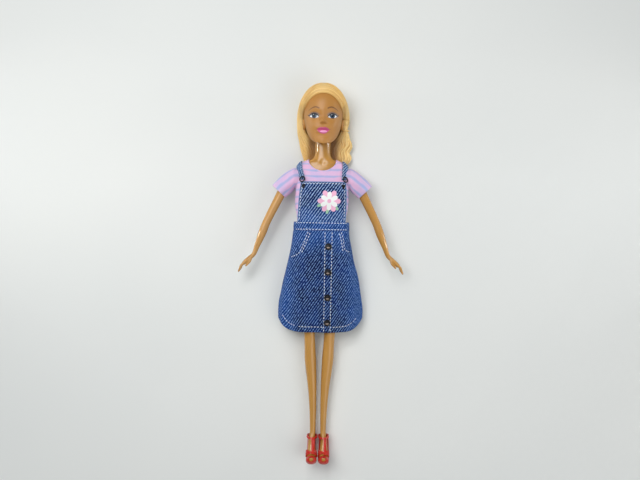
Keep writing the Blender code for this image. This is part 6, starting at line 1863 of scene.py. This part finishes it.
def route(points):
    """A smooth route through a few places on the dress, as x and height."""
    table = [(index / (len(points) - 1), *point) for index, point in enumerate(points)]
    return [read(table, index / 59) for index in range(60)]


def on_dress(x, y):
    return on_skirt(x, (SKIRT_HIGH - y) / SKIRT_LENGTH, CLOTH + 0.00012)


def on_band(x, share):
    reach = x / (read(BAND_TABLE, share)[0] + CLOTH)
    if abs(x) >= 0.0001:
        reach = math.copysign(min(abs(reach), 1) ** (SQUARE / 2), x)
    return band_point(math.acos(reach), share, CLOTH + 0.00004)


HEM_STITCH_Y = SKIRT_HIGH - SKIRT_LENGTH + 0.0042
POCKET_HIGH = SKIRT_HIGH - 0.0006
POCKETS = {
    1: ((0.0150, POCKET_HIGH), (0.0166, 0.0270), (0.0180, 0.0192), (0.0212, 0.0172)),
    -1: ((-0.0098, POCKET_HIGH), (-0.0124, 0.0255), (-0.0165, 0.0160), (-0.0232, 0.0122)),
}
for label, share in (("high", 0.13), ("low", 0.87)):
    sew("band_stitch_" + label, on_band, [(x, share) for x in spread(-0.0196, 0.0196, 90)])
for side_name, side in SIDES:
    sew("pocket_stitch_" + side_name, on_dress, route(POCKETS[side]), BEND[side])
    inner = [(x - side * 0.0015, y - 0.0009) for x, y in POCKETS[side][:3]]
    sew("pocket_edge_" + side_name, on_dress, route(inner), BEND[side])
    first = PLACKET_X + PLACKET_HALF_WIDTH + 0.0006 if side > 0 else 0.0002
    points = [(side * x, HEM_STITCH_Y + HEM_CORNER_RISE * (x / SKIRT_HEM_HALF_WIDTH) ** 6)
              for x in spread(first, SKIRT_HEM_HALF_WIDTH - 0.0035, 60)]
    sew("hem_stitch_" + side_name, on_dress, points, BEND[side])
points = [(x, HEM_STITCH_Y) for x in spread(0.0002, PLACKET_X - PLACKET_HALF_WIDTH - 0.0004, 8)]
sew("hem_stitch_middle", on_dress, points, BEND[1])
for label, offset in (("in", -0.78), ("out", 0.78)):
    points = [(PLACKET_X + placket_edge(share) * offset, share) for share in spread(0.01, 0.98, 90)]
    sew("placket_stitch_" + label, placket_place, points, BEND[1], step=0.0004)
for side_name, side in SIDES:
    stitch, edge = (
        [(side * (bib_half_width(share) - inset), BIB_LOW + BIB_LENGTH * share) for share in shares]
        for inset, shares in ((0.0012, spread(0.03, 0.96, 50)), (0.0001, spread(0, 1, 50))))
    sew("bib_stitch_" + side_name, bib_place, stitch)
    hem_edge("bib_edge_" + side_name, edge)
reach = BIB_TOP_HALF_WIDTH - 0.0014
sew("bib_stitch_top", bib_place, [(x, BIB_HIGH - 0.0013) for x in spread(-reach, reach, 60)])
hem_edge("bib_edge_top",
         [(x, BIB_HIGH - 0.0001) for x in spread(-BIB_TOP_HALF_WIDTH, BIB_TOP_HALF_WIDTH, 60)])


# A printed sprig of blossom on the bib.
def petal(x, y, turn, length, wide):
    def outline(angle, size):
        a = (math.cos(angle) * 0.5 + 0.5) * length * size + (1 - size) * length * 0.5
        b = math.sin(angle) * wide * size * (0.75 + 0.25 * math.cos(angle))
        return x + a * math.cos(turn) - b * math.sin(turn), y + a * math.sin(turn) + b * math.cos(turn)
    return outline


BLOSSOM_X = 0.0050
BLOSSOM_Y = 0.0552
heart = oval_outline(BLOSSOM_X, BLOSSOM_Y, 0.0015, 0.0015)
for layer, (name, look, turns, length, wide) in enumerate((
    ("print_leaves", "print_green", (205, 262, 318), 0.0098, 0.0016),
    ("print_petals_back", "print_pink", range(0, 360, 60), 0.0088, 0.0026),
    ("print_petals", "print_white", range(30, 360, 60), 0.0070, 0.0022),
    ("print_heart", "print_pink", (), 0, 0),
)):
    outlines = [petal(BLOSSOM_X, BLOSSOM_Y, math.radians(turn), length, wide) for turn in turns] or [heart]
    edge = 0.00002 + 0.00002 * layer
    builds = [patch(outline, bib_place, 0.00001, 5, 24, edge) for outline in outlines]
    piece(name, merge(builds), look, "torso")

# Floor, light and camera.
build = bmesh.new()
bmesh.ops.create_grid(build, x_segments=1, y_segments=1, size=1.5)
floor = show("floor", mesh_of("floor", build))
floor.location = (0, 0, -0.0008)
tree, shader = finish("floor", None, shade(224, 226, 223), 0.75)
grain = use(tree, GRAIN, Vector=own_place(tree), Fine=700.0, Slow=5.0)
tone_by(tree, shader, mix(tree, grain["Tint"], shade(218, 221, 219), shade(229, 230, 226)))
floor.data.materials.append(LOOKS["floor"][0])

world = bpy.data.worlds.new("studio")
bpy.context.scene.world = world
world.use_nodes = True
sky = world.node_tree.nodes["Background"].inputs
sky["Color"].default_value = (0.92, 0.96, 1.0, 1.0)
sky["Strength"].default_value = 0.28


LIT_PLACE = Vector((0, 0.02, 0))


def lamp(name, place, size, power_watts, opening=180):
    light = bpy.data.lights.new(name, "AREA")
    light.shape = "SQUARE"
    light.size = size
    light.energy = power_watts
    light.spread = math.radians(opening)
    thing = show(name, light)
    thing.location = place
    thing.rotation_euler = (LIT_PLACE - Vector(place)).to_track_quat("-Z", "Y").to_euler()


lamp("soft_box", (-0.27, 0.28, 0.78), 0.55, 4.5)
lamp("fill", (0.50, -0.25, 0.62), 0.60, 1.7)
lamp("flash", (-0.03, 0.50, 0.60), 0.05, 0.55)
lamp("left_strip", (-0.62, 0.165, 0.12), 0.045, 0.045, 36)
lamp("right_strip", (0.62, 0.165, 0.12), 0.045, 0.038, 36)

camera = bpy.data.cameras.new("camera")
camera.lens = 50.3
camera.sensor_width = 36
camera.clip_start = 0.01
viewer = show("camera", camera)
viewer.location = (-0.0009, 0.0258, 0.70)
viewer.rotation_euler = (0, 0, math.radians(1.0))
bpy.context.scene.camera = viewer
bpy.context.scene.view_settings.view_transform = "Standard"
